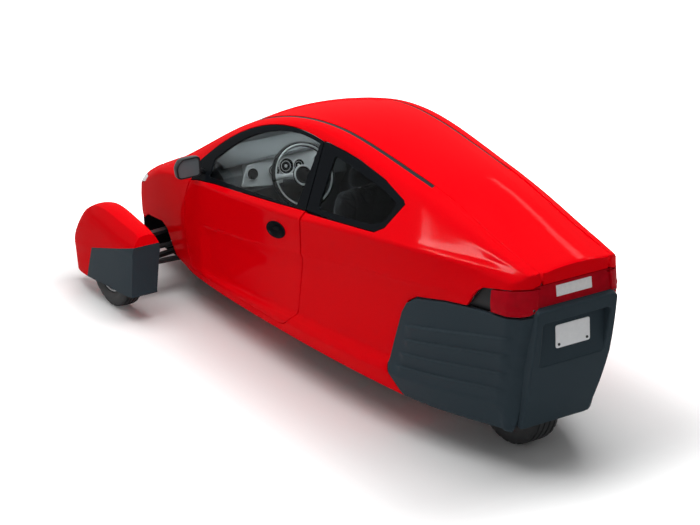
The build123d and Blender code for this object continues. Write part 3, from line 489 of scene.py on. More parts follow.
def panel(name, surface, outline, holes, spec, offset=None):
    # closed sheet on the skin: face, rolled edge, flange and back
    reach = spec["gap"] / 2 + spec["roll"]
    loops = [movedLoop(outline, -reach)] + [movedLoop(hole, reach) for hole in holes]
    points, edges = [], []
    for loop in loops:
        first = len(points)
        points += [tuple(p) for p in loop]
        edges += [(first + k, first + (k + 1) % len(loop)) for k in range(len(loop))]
    for line in spec.get("creases", []):
        edges += [(len(points) + k, len(points) + k + 1) for k in range(len(line) - 1)]
        points += [tuple(p) for p in line]
    tree = kdtree.KDTree(len(points))
    for k, p in enumerate(points):
        tree.insert((p[0], p[1], 0), k)
    tree.balance()
    low, high = np.min(loops[0], 0), np.max(loops[0], 0)
    step = spec["step"]
    xs = np.arange(low[0] + step / 2, high[0], step)
    ss = surface.s[(surface.s > low[1]) & (surface.s < high[1])]
    if "sStep" in spec:
        ss = np.arange(low[1], high[1], spec["sStep"])
    inner = np.stack(np.meshgrid(xs, ss), -1).reshape(-1, 2)
    keep = insideLoop(loops[0], inner)
    for loop in loops[1:]:
        keep &= ~insideLoop(loop, inner)
    inner = inner[keep]
    points += [tuple(p) for p in inner if tree.find((p[0], p[1], 0))[2] > 0.006]
    made, _, triangles, *_ = geometry.delaunay_2d_cdt([Vector(p) for p in points], edges, [], 0, 1e-6)
    flat = np.array([tuple(v) for v in made])
    triangles = np.array([t for t in triangles if len(t) == 3])
    middle = flat[triangles].mean(1)
    keep = insideLoop(loops[0], middle)
    for loop in loops[1:]:
        keep &= ~insideLoop(loop, middle)
    triangles = triangles[keep]
    used, back = np.unique(triangles, return_inverse=True)
    flat, triangles = flat[used], back.reshape(-1, 3)
    face = surface.at(surface.grid, flat[:, 0], flat[:, 1])
    normal = surface.at(surface.normal, flat[:, 0], flat[:, 1])
    normal /= np.linalg.norm(normal, axis=1, keepdims=True)
    if offset is not None:
        face = face + normal * offset(face)[:, None]
    # face the triangles outward
    corner = face[triangles]
    flipped = np.einsum("ij,ij->i", np.cross(corner[:, 1] - corner[:, 0], corner[:, 2] - corner[:, 0]),
                       normal[triangles[:, 0]]) < 0
    triangles[flipped] = triangles[flipped][:, ::-1]
    shade = normal
    if offset is not None:
        corner = face[triangles]
        slope = np.cross(corner[:, 1] - corner[:, 0], corner[:, 2] - corner[:, 0])
        shade = np.zeros_like(face)
        for k in range(3):
            np.add.at(shade, triangles[:, k], slope)
        shade /= np.linalg.norm(shade, axis=1, keepdims=True) + 1e-12
    seen = {}
    for t in triangles:
        for a, b in ((t[0], t[1]), (t[1], t[2]), (t[2], t[0])):
            seen[(a, b)] = (b, a) not in seen
            if not seen[(a, b)]:
                seen[(b, a)] = False
    border = [edge for edge, alone in seen.items() if alone]
    rim = sorted({v for edge in border for v in edge})
    order = {v: k for k, v in enumerate(rim)}
    tangent = np.zeros((len(rim), 3))
    for a, b in border:
        along = face[b] - face[a]
        along /= np.linalg.norm(along) + 1e-12
        tangent[order[a]] += along
        tangent[order[b]] += along
    out = np.cross(tangent, normal[rim])
    out /= np.linalg.norm(out, axis=1, keepdims=True) + 1e-12
    roll, depth = spec["roll"], spec["depth"]
    vertices, normals, faces, indices = [face], [shade], [tuple(t) for t in triangles], [0] * len(triangles)
    rows = [np.array(rim)]
    start = len(face)
    for angle, sink in ((30, 0), (60, 0), (90, 0), (90, depth - roll)):
        a = math.radians(angle)
        drop = roll * (1 - math.cos(a)) + sink
        vertices.append(face[rim] + out * roll * math.sin(a) - normal[rim] * drop)
        normals.append(out * math.sin(a) + shade[rim] * math.cos(a))
        rows.append(np.arange(start, start + len(rim)))
        start += len(rim)
    vertices.append(face - normal * depth)
    normals.append(-shade)
    behind = start
    rows.append(np.array(rim) + behind)
    for upper, lower in zip(rows, rows[1:]):
        for a, b in border:
            faces.append((upper[order[b]], upper[order[a]], lower[order[a]], lower[order[b]]))
            indices.append(0 if lower[0] < behind else 1)
    faces += [tuple(t[::-1] + behind) for t in triangles]
    indices += [1] * len(triangles)
    materials = spec["materials"]
    piece = meshObject(name, np.concatenate(vertices), faces, materials,
                       [min(k, len(materials) - 1) for k in indices], np.concatenate(normals))
    return piece


# openings of the body, side view stations and heights in millimetres
doorTop = arcThrough((1188, 1270), (1850, 1190), (2384, 884), 40)
doorFront = arcThrough((2372, 786), (2499, 484), (2430, 250))
doorHeel = arcThrough((1450, 250), (1338, 290), (1262, 372), 10)
beltLine = [(1111, 962), (1207, 950), (1682, 889), (2090, 838), (2300, 806), (2372, 788)]
quarterFoot = [(1103, 957), (782, 991), (500, 1019), (447, 1050), (405, 1160)]
quarterTop = [(428, 1173), (618, 1221), (853, 1259), (989, 1270), (1130, 1275), (1184, 1274)]
frontGlass = [(1204, 960), (2190, 850), (2206, 935)]
frontGlass += arcThrough((2206, 935), (1810, 1166), (1212, 1254), 30)[1:]
quarterGlass = softened([(1010, 996), (551, 1041), (471, 1069), (455, 1150), (579, 1179), (855, 1216),
                         (1050, 1235)], 22)
archEdge = [(2545, 152), (2570, 165), (2700, 300), (2780, 385), (2860, 402), (3170, 345), (3330, 262)]
lampFront = [(-150, 823), (-172, 860), (-211, 915), (-249, 941), (-300, 950), (-501, 986), (-519, 1003)]
claddingEdge = [(368, 150), (436, 363), (381, 501), (311, 667), (270, 725), (201, 766),
                (-4, 805), (-150, 822)]
sillEnd = (380, 188)
headlampOutline = softened([(3150, 578), (3330, 536), (3450, 478), (3462, 452), (3370, 478), (3200, 532)], 14)
# top view outlines, station and half breadth in millimetres
slotLine = [(1947, 285), (1600, 260), (1120, 238), (600, 224), (150, 212), (-200, 208), (-521, 201)]
screenEdge = [(2560, 345), (2480, 345), (2050, 296), (1950, 285)]
hoodEdge = [(2870, 330), (3250, 285), (3400, 215)]
underColumn = 3  # the skin turns under the sill as far as this column of the section grid


def shellHalf(side):
    # from the top of the tail along the sill to the nose
    path = flankPath(lampFront[::-1] + claddingEdge[::-1][:-1] + [sillEnd], side)
    path += underPath(station(384), station(2544), side, underColumn)
    path += flankPath(archEdge, side)
    path += underPath(station(3331), body.x[-1], side, 0)
    return path


def shellTop(side):
    # from the tail along the roof slot and the screen
    return topPath(slotLine[::-1], side, 6) + topPath(screenEdge[::-1], side)


# scalloped flank: a crease from the door to the lamp, the panel under it drawn in, and a ledge above the sill
scallop = {
    "upper": [(2300, 552), (1834, 613), (1488, 666), (1192, 714), (750, 781), (322, 836),
              (186, 850), (-146, 881)],
    "ledgeTop": [(2300, 270), (1923, 301), (1528, 335), (1282, 355), (782, 377), (456, 392), (-150, 420)],
    "ledgeLow": [(2300, 241), (1898, 279), (1509, 309), (1297, 328), (765, 343), (466, 353), (-150, 380)],
    "turnIn": 56, "depth": (0.018, 0.022), "front": (2240, 2310), "rear": (-170, 330),
}


# ridges that catch the light beside the fastback and along the shoulder behind the window
ridges = [
    {"line": [(470, 1252), (334, 1230), (153, 1196), (-133, 1129), (-441, 1060)], "rise": 0.003, "half": 40},
    {"line": [(430, 1012), (6, 1025), (-293, 1035), (-470, 1034)], "rise": 0.003, "half": 26},
]
ridgeFade = 90


def ridged(points):
    x, z = (points[:, 0] - rearAxle) * 1000, points[:, 2] * 1000
    rise = np.zeros(len(points))
    for ridge in ridges:
        line = np.array(ridge["line"][::-1])
        near = np.clip(1 - abs(z - np.interp(x, *line.T)) / ridge["half"], 0, 1)
        ends = np.clip((x - line[0, 0]) / ridgeFade, 0, 1) * np.clip((line[-1, 0] - x) / ridgeFade, 0, 1)
        rise += ridge["rise"] * near * ends
    return rise


def scalloped(points):
    x, z = (points[:, 0] - rearAxle) * 1000, points[:, 2] * 1000
    upper, top, low = (np.interp(x, *np.array(scallop[key][::-1]).T)
                       for key in ("upper", "ledgeTop", "ledgeLow"))
    turnIn = 1 - np.clip((upper - z) / scallop["turnIn"], 0, 1)
    first, last = scallop["depth"]
    inward = first * (1 - turnIn ** 2) + (last - first) * np.clip((upper - z) / (upper - top), 0, 1)
    inward *= 1 - np.clip((top - z) / (top - low), 0, 1)
    ahead = np.clip((scallop["front"][1] - x) / (scallop["front"][1] - scallop["front"][0]), 0, 1)
    behind = np.clip((x - scallop["rear"][0]) / (scallop["rear"][1] - scallop["rear"][0]), 0, 1)
    return ridged(points) - inward * ahead * behind


def scallopLines(side):
    lines = [[(x, z) for x, z in scallop[key] if x > 380] for key in ("ledgeTop", "ledgeLow")]
    lines += [scallop["upper"], [(x, z - scallop["turnIn"]) for x, z in scallop["upper"] if x > 400]]
    return [flankPath(line, side) for line in lines + [ridge["line"] for ridge in ridges]]


shell = panelSpec([redEnamel, trimCloth], 0.016, 0.018, 0.0025, 0.004)
leftSide, rightSide = 1, -1
sides = ((leftSide, "left"), (rightSide, "right"))
shellOutline = (shellHalf(leftSide) + shellHalf(rightSide)[::-1]
                + shellTop(rightSide) + shellTop(leftSide)[::-1])
doorHole = doorFront + doorHeel + quarterFoot + quarterTop + doorTop
windowHole = beltLine[::-1] + quarterFoot + quarterTop + doorTop
hoodLoop = topPath(hoodEdge, leftSide) + topPath(hoodEdge, rightSide)[::-1]
shellHoles = [
    flankOutline(doorHole, leftSide),
    flankOutline(windowHole, rightSide),
    hoodLoop,
    flankOutline(headlampOutline, leftSide),
    flankOutline(headlampOutline, rightSide),
]
bodyShell = panel("bodyShell", body, shellOutline, shellHoles,
                  dict(shell, creases=scallopLines(leftSide) + scallopLines(rightSide)), scalloped)
place(bodyShell, "chassis", "red_paint", "front_clip", "left_side_frame", "right_side_frame")

handlePlace = {"x": 1391, "z": 785, "half": (96, 44), "lean": -14}
lean = math.radians(handlePlace["lean"])
handleHole = []
for turn in np.linspace(0, 2 * math.pi, 40, endpoint=False):
    a, b = handlePlace["half"][0] * math.cos(turn), handlePlace["half"][1] * math.sin(turn)
    handleHole.append((handlePlace["x"] + a * math.cos(lean) - b * math.sin(lean),
                       handlePlace["z"] + a * math.sin(lean) + b * math.cos(lean)))

doorSkin = panel("doorSkin", body, flankOutline(doorFront + doorHeel + beltLine, leftSide),
                 [flankOutline(handleHole, leftSide, spacing=6)],
                 dict(shell, depth=0.022, creases=scallopLines(leftSide)), scalloped)
place(doorSkin, "door", "red_paint", "left_door")

frameSpec = panelSpec([blackFilm, blackMoulding], 0.014, 0.02, 0.002, 0.003)
glassSpec = panelSpec([clearGlass], 0.004, 0.03, 0.001)
smokedSpec = dict(glassSpec, materials=[smokedGlass])
sunk = evenly(-0.0035)  # glass lies this far under the skin
glassLap = 0.008  # and reaches this far behind its frame
for side, name, bodyName in ((leftSide, "left", "door"), (rightSide, "right", "chassis")):
    frontFrame = panel(name + "WindowFrame", body,
                       flankOutline(beltLine[::-1] + [(1110, 966)] + doorTop, side),
                       [flankOutline(frontGlass, side)], frameSpec)
    place(frontFrame, bodyName, "black_trim")
    paneLoop = movedLoop(flankOutline(frontGlass, side), glassLap)
    pane = panel(name + "DoorPane", body, paneLoop, [], glassSpec, sunk)
    place(pane, bodyName, "glass", "left_door_glass" if side > 0 else "right_front_glass")
    surround = panel(name + "QuarterSurround", body,
                     flankOutline([(1103, 966)] + quarterFoot[1:] + quarterTop[:-1] + [(1181, 1273)], side),
                     [flankOutline(quarterGlass, side)], frameSpec)
    place(surround, "chassis", "black_trim")
    paneLoop = movedLoop(flankOutline(quarterGlass, side), glassLap)
    pane = panel(name + "QuarterPane", body, paneLoop, [], smokedSpec, sunk)
    place(pane, "chassis", "glass", "quarter_glasses")

hoodSkin = panel("hoodSkin", body, hoodLoop, [], dict(shell, depth=0.018))
place(hoodSkin, "hood_lid", "red_paint", "hood")

slotIn, slotOut, slotSink = 9, 7, 0.004  # channel beside the roof panel, millimetres, and its depth in metres
roofLoop = topPath(slotLine, leftSide, -slotIn) + topPath(slotLine, rightSide, -slotIn)[::-1]
roofSkin = panel("roofSkin", body, roofLoop, [], dict(shell, depth=0.014))
place(roofSkin, "chassis", "red_paint", "roof_panel")

slotJoint = (340, 217)  # black channel ahead of this station, body colour behind it
slotFront = [p for p in slotLine if p[0] > slotJoint[0]] + [slotJoint]
slotRear = [slotJoint] + [p for p in slotLine if p[0] < slotJoint[0]]
for side, name in sides:
    for part, line, paint in (("Front", slotFront, blackMoulding), ("Rear", slotRear, redEnamel)):
        loop = topPath(line, side, -slotIn - 4) + topPath(line, side, slotOut + 4)[::-1]
        sink, depth = (slotSink, 0.004) if part == "Front" else (0.002, 0.034)
        channel = panel(name + "Gutter" + part, body, loop, [],
                        panelSpec([paint], depth, 0.03, 0.001), evenly(-sink))
        place(channel, "chassis", "black_trim" if part == "Front" else "red_paint", "roof_gutters")

screenLoop = topPath(screenEdge, leftSide) + topPath(screenEdge, rightSide)[::-1]
screenPane = panel("screenPane", body, screenLoop, [], dict(glassSpec, gap=0.006, depth=0.005), sunk)
place(screenPane, "chassis", "glass", "windscreen")
screenBand = panel("screenBand", body, screenLoop, [movedLoop(screenLoop, -0.045)],
                   panelSpec([blackFilm, blackMoulding], 0.002, 0.02, 0.0005, 0.004), evenly(-0.0095))
place(screenBand, "chassis", "black_trim")

# ribs of the rear side cladding: each band steps out at its upper line and leans back to the next
ribLines = [((290, 604), (-404, 728)), ((301, 528), (-374, 633)), ((340, 445), (-351, 533)),
            ((366, 369), (-326, 441)), ((430, 330), (-290, 372))]
ribRise, ribFade = 0.011, 35
columnRise, columnLean = 0.007, 0.32
claddingTail = [(-312, 236), (-518, 866), (-491, 850), (-451, 835), (-300, 829)]


def ribbed(points):
    x, z = (points[:, 0] - rearAxle) * 1000, points[:, 2] * 1000
    rise = np.zeros(len(points))
    for (front, low), (rear, high) in zip(ribLines, ribLines[1:]):
        upper = front[1] + (low[1] - front[1]) * (front[0] - x) / (front[0] - low[0])
        lower = rear[1] + (high[1] - rear[1]) * (rear[0] - x) / (rear[0] - high[0])
        t = (upper - z) / (upper - lower)
        ends = np.clip((front[0] - x) / ribFade, 0, 1) * np.clip((x - low[0]) / ribFade, 0, 1)
        rise = np.where((t > 0) & (t <= 1), ribRise * (1 - t) * ends, rise)
    # upright column at the tail corner
    column = ribLines[0][1][0] - 8 + (ribLines[0][1][1] - z) * columnLean
    return rise + columnRise * np.clip((column - x) / 12, 0, 1)


for side, name in sides:
    path = flankPath(claddingTail + claddingEdge[::-1][:-1] + [sillEnd], side)
    path += underPath(station(370), station(-210), side, underColumn)
    cladding = panel(name + "CladdingSkin", body, path, [],
                     panelSpec([greyMoulding, blackMoulding], 0.016, 0.014, 0.004, 0.004, sStep=0.004),
                     ribbed)
    place(cladding, "chassis", "grey_plastic", name + "_cladding")
    lens = panel(name + "Headlamp", body, flankOutline(headlampOutline, side), [],
                 panelSpec([clearLens, blackMoulding], 0.02, 0.02, 0.003, 0.003))
    place(lens, "chassis", "clear_lens")


def planeSurface(origin, along, up, alongSpan, upSpan):
    # flat skin for panels that aren't on the body, positions along the two directions
    a, b = np.linspace(*alongSpan, 40), np.linspace(*upSpan, 40)
    grid = (np.array(origin)[None, None] + a[:, None, None] * np.array(along)[None, None]
            + b[None, :, None] * np.array(up)[None, None])
    flat = Surface(a, grid, 0)
    flat.s = b
    return flat


def rings(name, loops, materials, closed=True, indices=None):
    # skin over a row of equal rings, with flat ends when closed
    count = len(loops[0])
    faces, marks = [], []
    for k in range(len(loops) - 1):
        for i in range(count):
            j = (i + 1) % count
            faces.append((k * count + i, k * count + j, (k + 1) * count + j, (k + 1) * count + i))
            marks.append(indices[k] if indices else 0)
    if closed:
        faces += [tuple(range(count))[::-1], tuple((len(loops) - 1) * count + i for i in range(count))]
        marks += [marks[0], marks[-1]]
    return meshObject(name, np.concatenate(loops), faces, materials, marks)


def turned(name, profile, centre, axis, steps, materials, indices=None):
    # profile of (distance along the axis, radius) turned about the axis
    axis = np.array(axis, float) / np.linalg.norm(axis)
    side = np.cross(axis, (0, 0, 1) if abs(axis[2]) < 0.9 else (1, 0, 0))
    side /= np.linalg.norm(side)
    other = np.cross(axis, side)
    turns = np.linspace(0, 2 * math.pi, steps, endpoint=False)
    circle = np.cos(turns)[:, None] * side + np.sin(turns)[:, None] * other
    loops = [np.array(centre) + axis * d + r * circle for d, r in profile]
    return rings(name, loops, materials, True, indices)


def tube(name, points, radius, materials, steps=12):
    # round bar along a line of points
    points = [np.array(p, float) for p in points]
    loops = []
    for k, p in enumerate(points):
        t = points[min(k + 1, len(points) - 1)] - points[max(k - 1, 0)]
        t /= np.linalg.norm(t)
        a = np.cross(t, (0, 0, 1) if abs(t[2]) < 0.9 else (1, 0, 0))
        a /= np.linalg.norm(a)
        b = np.cross(t, a)
        turns = np.linspace(0, 2 * math.pi, steps, endpoint=False)
        loops.append(p + radius * (np.cos(turns)[:, None] * a + np.sin(turns)[:, None] * b))
    return rings(name, loops, materials)


def hardened(piece, angle=35):
    # smooth faces with sharp edges kept past an angle
    edge = piece.modifiers.new("edges", "EDGE_SPLIT")
    edge.split_angle = math.radians(angle)
    return piece


def skinFrame(x, z, side):
    # place on the flank with its forward, upward and outward directions
    u, s = station(x), sOfHeight(body, station(x), z / 1000, side)
    here = body.at(body.grid, np.array([u]), np.array([s]))[0]
    out = body.at(body.normal, np.array([u]), np.array([s]))[0]
    out /= np.linalg.norm(out)
    ahead = np.array([1.0, 0, 0]) - out * out[0]
    ahead /= np.linalg.norm(ahead)
    return here, ahead, np.cross(ahead, out) * side, out


# door handle: oval cup let into the skin with a pull paddle across it
handle = {"paddle": (0.043, 0.013, 0.008)}  # reach, half height and thickness
spot, ahead, up, out = skinFrame(handlePlace["x"], handlePlace["z"], leftSide)
ahead, up = ahead * math.cos(lean) + up * math.sin(lean), up * math.cos(lean) - ahead * math.sin(lean)
halfA, halfB = (v / 1000 for v in handlePlace["half"])
turns = np.linspace(0, 2 * math.pi, 48, endpoint=False)
cupRows = [(1.07, 0.000), (1.07, 0.003), (1.03, 0.0055), (0.97, 0.005), (0.93, 0.001), (0.88, -0.012),
           (0.74, -0.021), (0.45, -0.026), (0.05, -0.027)]
cosines, sines = np.cos(turns)[:, None], np.sin(turns)[:, None]
cupLoops = [spot + out * rise + cosines * ahead * halfA * share + sines * up * halfB * share
            for share, rise in cupRows]
cup = rings("handleCup", cupLoops, [blackMoulding, blackFilm], True, [1, 1, 1, 1, 0, 0, 0, 0])
place(cup, "door", "black_trim", "door_handle")
reachA, halfPaddle, thick = handle["paddle"]
paddleLoops = []
for t in np.linspace(-1, 1, 15):
    swell = math.sqrt(max(0.0, 1 - 0.9 * t * t))
    middle = spot + ahead * reachA * t + up * 0.006 + out * (0.003 * swell - 0.004)
    paddleLoops.append(middle + cosines * up * halfPaddle * swell + sines * out * thick * swell)
paddle = rings("handlePaddle", paddleLoops, [blackFilm])
place(paddle, "door", "black_trim")

# door mirrors: D shaped shell with glass set in its rear rim, and its arm
mirror = {"width": 0.146, "height": 0.112}
mirrorShape = softened([(-0.5, 0.5), (0.28, 0.5), (0.5, 0.1), (0.46, -0.5), (-0.5, -0.5)], 0.17, 7)
for side, name in sides:
    low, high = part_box(name + "_mirror")
    rear, centre = low[0], (low[2] + high[2]) / 2
    middle = (high[1] - mirror["width"] / 2) if side > 0 else (low[1] + mirror["width"] / 2)

    def mirrorLoop(x, share, lift=0.0):
        loop = [(x, middle + side * a * mirror["width"] * share, centre + lift + b * mirror["height"] * share)
                for a, b in mirrorShape]
        return np.array(loop if side > 0 else loop[::-1])

    rows = [(0.006, 0.86), (0.006, 0.90), (0.0, 0.93), (0.002, 0.985), (0.012, 1.0), (0.035, 0.985),
            (0.055, 0.90), (0.068, 0.72), (0.074, 0.45), (0.075, 0.1)]
    mirrorShell = rings(name + "MirrorShell", [mirrorLoop(rear + d, share) for d, share in rows],
                        [blackMoulding, mirrorPaintedReflection])
    # the rear cap takes the painted reflection, a flat grey in place of a mirror
    mirrorShell.data.polygons[len(mirrorShell.data.polygons) - 2].material_index = 1
    bodyName = "door" if side > 0 else "chassis"
    place(mirrorShell, bodyName, "black_trim", name + "_mirror")
    root, ahead, _, out = skinFrame(2262, 852, side)
    tip = np.array((rear + 0.04, middle - side * 0.045, centre - 0.04))
    armLine = [root - out * 0.004, root + out * 0.03 + (0, 0, 0.004), tip]
    arm = tube(name + "MirrorArm", armLine, 0.014, [blackMoulding])
    place(arm, bodyName, "black_trim")

# tail: raised middle of the bumper, blank plate, lamp band and lip
tailUp = np.array((-0.3125, 0, 0.95))
tailFoot = np.array((station(-303), 0, 0.195))
tailSkin = planeSurface(tailFoot, (0, 1, 0), tailUp, (-0.3, 0.3), (-0.02, 0.8))
tailTop = tailFace["top"] / 1000
tailHigh = (tailTop - tailFoot[2]) / tailUp[2]
bumper = {"topHalf": 0.222, "midHalf": 0.222, "footHalf": 0.196, "raise": 0.008, "bulge": 0.034,
          "depth": 0.062, "bayHalf": (0.176, 0.186), "bayLow": 0.424, "bayHigh": 0.655}
bumperLoop = softened([(-bumper["footHalf"], 0.022), (bumper["footHalf"], 0.022),
                       (bumper["midHalf"], tailHigh * 0.55), (bumper["topHalf"], tailHigh - 0.002),
                       (-bumper["topHalf"], tailHigh - 0.002),
                       (-bumper["midHalf"], tailHigh * 0.55)], 0.03, 8)
bayLoop = softened([(-bumper["bayHalf"][0], bumper["bayLow"]), (bumper["bayHalf"][0], bumper["bayLow"]),
                    (bumper["bayHalf"][1], bumper["bayHigh"]), (-bumper["bayHalf"][1], bumper["bayHigh"])],
                   0.016, 6)


def spaced(loop, spacing):
    return spread(list(loop) + [loop[0]], spacing)[:-1]


def bulged(points):
    t = np.clip((points[:, 2] - tailFoot[2]) / (tailTop - tailFoot[2]), 0, 1)
    return bumper["raise"] + bumper["bulge"] * 4 * t * (1 - t)


bumperSkin = panel("bumperSkin", tailSkin, spaced(bumperLoop, 0.01), [spaced(bayLoop, 0.01)],
                   panelSpec([greyMoulding, blackMoulding], bumper["depth"], 0.02, 0.010, sStep=0.02), bulged)
place(bumperSkin, "chassis", "grey_plastic", "rear_bumper")
backLoop = [(-0.222, 0.02), (0.222, 0.02), (0.226, tailHigh - 0.006), (-0.226, tailHigh - 0.006)]
bumperBack = panel("bumperBack", tailSkin, spaced(backLoop, 0.02), [spaced(movedLoop(bayLoop, 0.01), 0.02)],
                   panelSpec([blackMoulding], 0.006, 0.04, sStep=0.04), evenly(-0.020))
place(bumperBack, "chassis", "grey_plastic")
bayX = -1.984
baySkin = planeSurface((bayX, 0, 0), (0, 1, 0), (0, 0, 1), (-0.3, 0.3), (0.5, 0.95))
bayEdge = [(-0.195, 0.585), (0.195, 0.585), (0.2, 0.84), (-0.2, 0.84)]
bayFloor = panel("plateBay", baySkin, spaced(bayEdge, 0.02), [],
                 panelSpec([greyMoulding], 0.006, 0.03, sStep=0.03))
place(bayFloor, "chassis", "grey_plastic")
plate = {"size": (0.190, 0.114), "thick": 0.003, "middle": (-0.006, 0.714)}
half = [v / 2 for v in plate["size"]]
plateLoop = softened([(plate["middle"][0] + a * half[0], plate["middle"][1] + b * half[1])
                      for a, b in ((-1, -1), (1, -1), (1, 1), (-1, 1))], 0.012, 5)
plateBlank = panel("blankPlate", baySkin, spaced(plateLoop, 0.01), [],
                   panelSpec([plateEnamel], plate["thick"], 0.04, 0.001, sStep=0.04), evenly(plate["thick"]))
place(plateBlank, "chassis", "clear_lens")
for k, (a, b) in enumerate(((-0.82, -0.7), (0.82, -0.7))):
    spot = (bayX, plate["middle"][0] + a * half[0], plate["middle"][1] + b * half[1])
    bolt = turned("plateBolt%d" % (k + 1), [(0.000, 0.003), (0.003, 0.007), (0.006, 0.0065), (0.0075, 0.003)],
                  spot, (-1, 0, 0), 12, [chassisBlack])
    place(bolt, "chassis", "black_steel")

lampFoot, lampHead = np.array((station(-506), 0, 0.893)), np.array((station(-498), 0, 0.992))
lampUp = (lampHead - lampFoot) / np.linalg.norm(lampHead - lampFoot)
lampSkin = planeSurface(lampFoot, (0, 1, 0), lampUp, (-0.3, 0.3), (-0.02, 0.12))
bandLoop = [(-0.215, -0.006), (0.215, -0.006), (0.215, 0.099), (-0.215, 0.099)]
whiteLoop = softened([(-0.097, 0.030), (0.097, 0.030), (0.097, 0.083), (-0.097, 0.083)], 0.006, 4)
lampBand = panel("lampBand", lampSkin, spaced(bandLoop, 0.01), [spaced(whiteLoop, 0.01)],
                 panelSpec([redLens], 0.02, 0.03, sStep=0.03))
place(lampBand, "chassis", "lamp_lens", "left_tail_lamp", "right_tail_lamp")
cornerLens = [(-300, 832), (-451, 838), (-491, 853), (-516, 872), (-518, 985), (-501, 979), (-300, 943)]
lampHollow = [(-135, 815), (-330, 822), (-330, 960), (-240, 950)]
for side, name in sides:
    lens = panel(name + "CornerLens", body, flankOutline(cornerLens, side), [],
                 panelSpec([redLens], 0.02, 0.011, 0.004, 0.003))
    place(lens, "chassis", "lamp_lens")
    recess = panel(name + "LampRecess", body, flankOutline(lampHollow, side), [],
                   panelSpec([blackMoulding], 0.004, 0.02, 0.001), evenly(-0.026))
    place(recess, "chassis", "black_trim")

tailX = station(tailFace["lip"])
lipRow = body.row(tailX)
lipTop = [(y, z) for _, y, z in lipRow if abs(y) < 0.168 and z > 1.0]
lipSkin = planeSurface((tailX + 0.001, 0, 0), (0, 1, 0), (0, 0, 1), (-0.3, 0.3), (0.9, 1.2))
lipLoop = [(0.176, 1.003), (0.176, lipTop[0][1] - 0.004)] + [(y, z - 0.004) for y, z in lipTop[::4]] \
    + [(-0.176, lipTop[-1][1] - 0.004), (-0.176, 1.003)]
lipFace = panel("tailLip", lipSkin, spaced(lipLoop, 0.01), [],
                panelSpec([redEnamel], 0.022, 0.03, 0.003, sStep=0.012))
place(lipFace, "chassis", "red_paint")


# arch liners: black wall inside the suspension opening with slots for the arms, and a strip to the skin
liner = {"wall": 0.395, "armSlot": (0.150, 0.020), "armHeights": (0.202, 0.354), "shaft": 0.045}
wallEdge = [(2530, 138), (2556, 165), (2692, 312), (2772, 399), (2860, 418), (3178, 360), (3346, 272),
            (3346, 192), (3200, 150)]
armBolts = [(-0.075, 0.354), (0.100, 0.354), (-0.085, 0.202), (0.135, 0.202), (0.02, 0.300)]
boltProfile = [(0.0, 0.009), (0.008, 0.0095), (0.009, 0.0075), (0.022, 0.007), (0.024, 0.004)]
for side, name in sides:
    wallSkin = planeSurface((0, side * liner["wall"], 0), (1, 0, 0), (0, 0, 1), (0.9, 2.0), (0.02, 0.6))
    wallSkin.normal[:] = (0, side, 0)
    middle = frontAxle
    holes = []
    for z in liner["armHeights"]:
        a, b = liner["armSlot"]
        holes.append(softened([(middle - a + 0.02, z - b), (middle + a, z - b), (middle + a, z + b),
                               (middle - a + 0.02, z + b)], 0.012, 4))
    holes.append([(middle + liner["shaft"] * math.cos(t), 0.278 + liner["shaft"] * math.sin(t))
                  for t in np.linspace(0, 2 * math.pi, 24, endpoint=False)])
    wall = panel(name + "ArchWall", wallSkin, [(station(x), z / 1000) for x, z in wallEdge],
                 [spaced(h, 0.012) for h in holes],
                 panelSpec([archFelt], 0.004, 0.03, 0.001, sStep=0.03))
    place(wall, "chassis", "black_trim")
    stripLoops = []
    for x, z in spread(archEdge, 15):
        u = station(x)
        s = sOfHeight(body, u, z / 1000, side)
        skin = body.at(body.grid, np.array([u]), np.array([s]))[0]
        outer = skin - np.array((0, side * 0.012, 0))
        inner = np.array((u, side * (liner["wall"] - 0.004), z / 1000 + 0.008))
        lift = np.array((0, 0, 0.003))
        stripLoops.append(np.array((outer, inner, inner + lift, outer + lift)))
    if side < 0:
        stripLoops = [loop[::-1] for loop in stripLoops]
    strip = rings(name + "ArchStrip", stripLoops, [archFelt])
    place(hardened(strip), "chassis", "black_trim")
    # bright bolts and bush ends that show in the opening
    for k, (dx, z) in enumerate(armBolts):
        foot = (frontAxle + dx, side * (liner["wall"] + 0.001), z + 0.034)
        bolt = turned(name + "ArmBolt%d" % (k + 1), boltProfile, foot, (0, side, 0), 6, [castAluminium])
        place(hardened(bolt), "chassis", "cast_alloy")

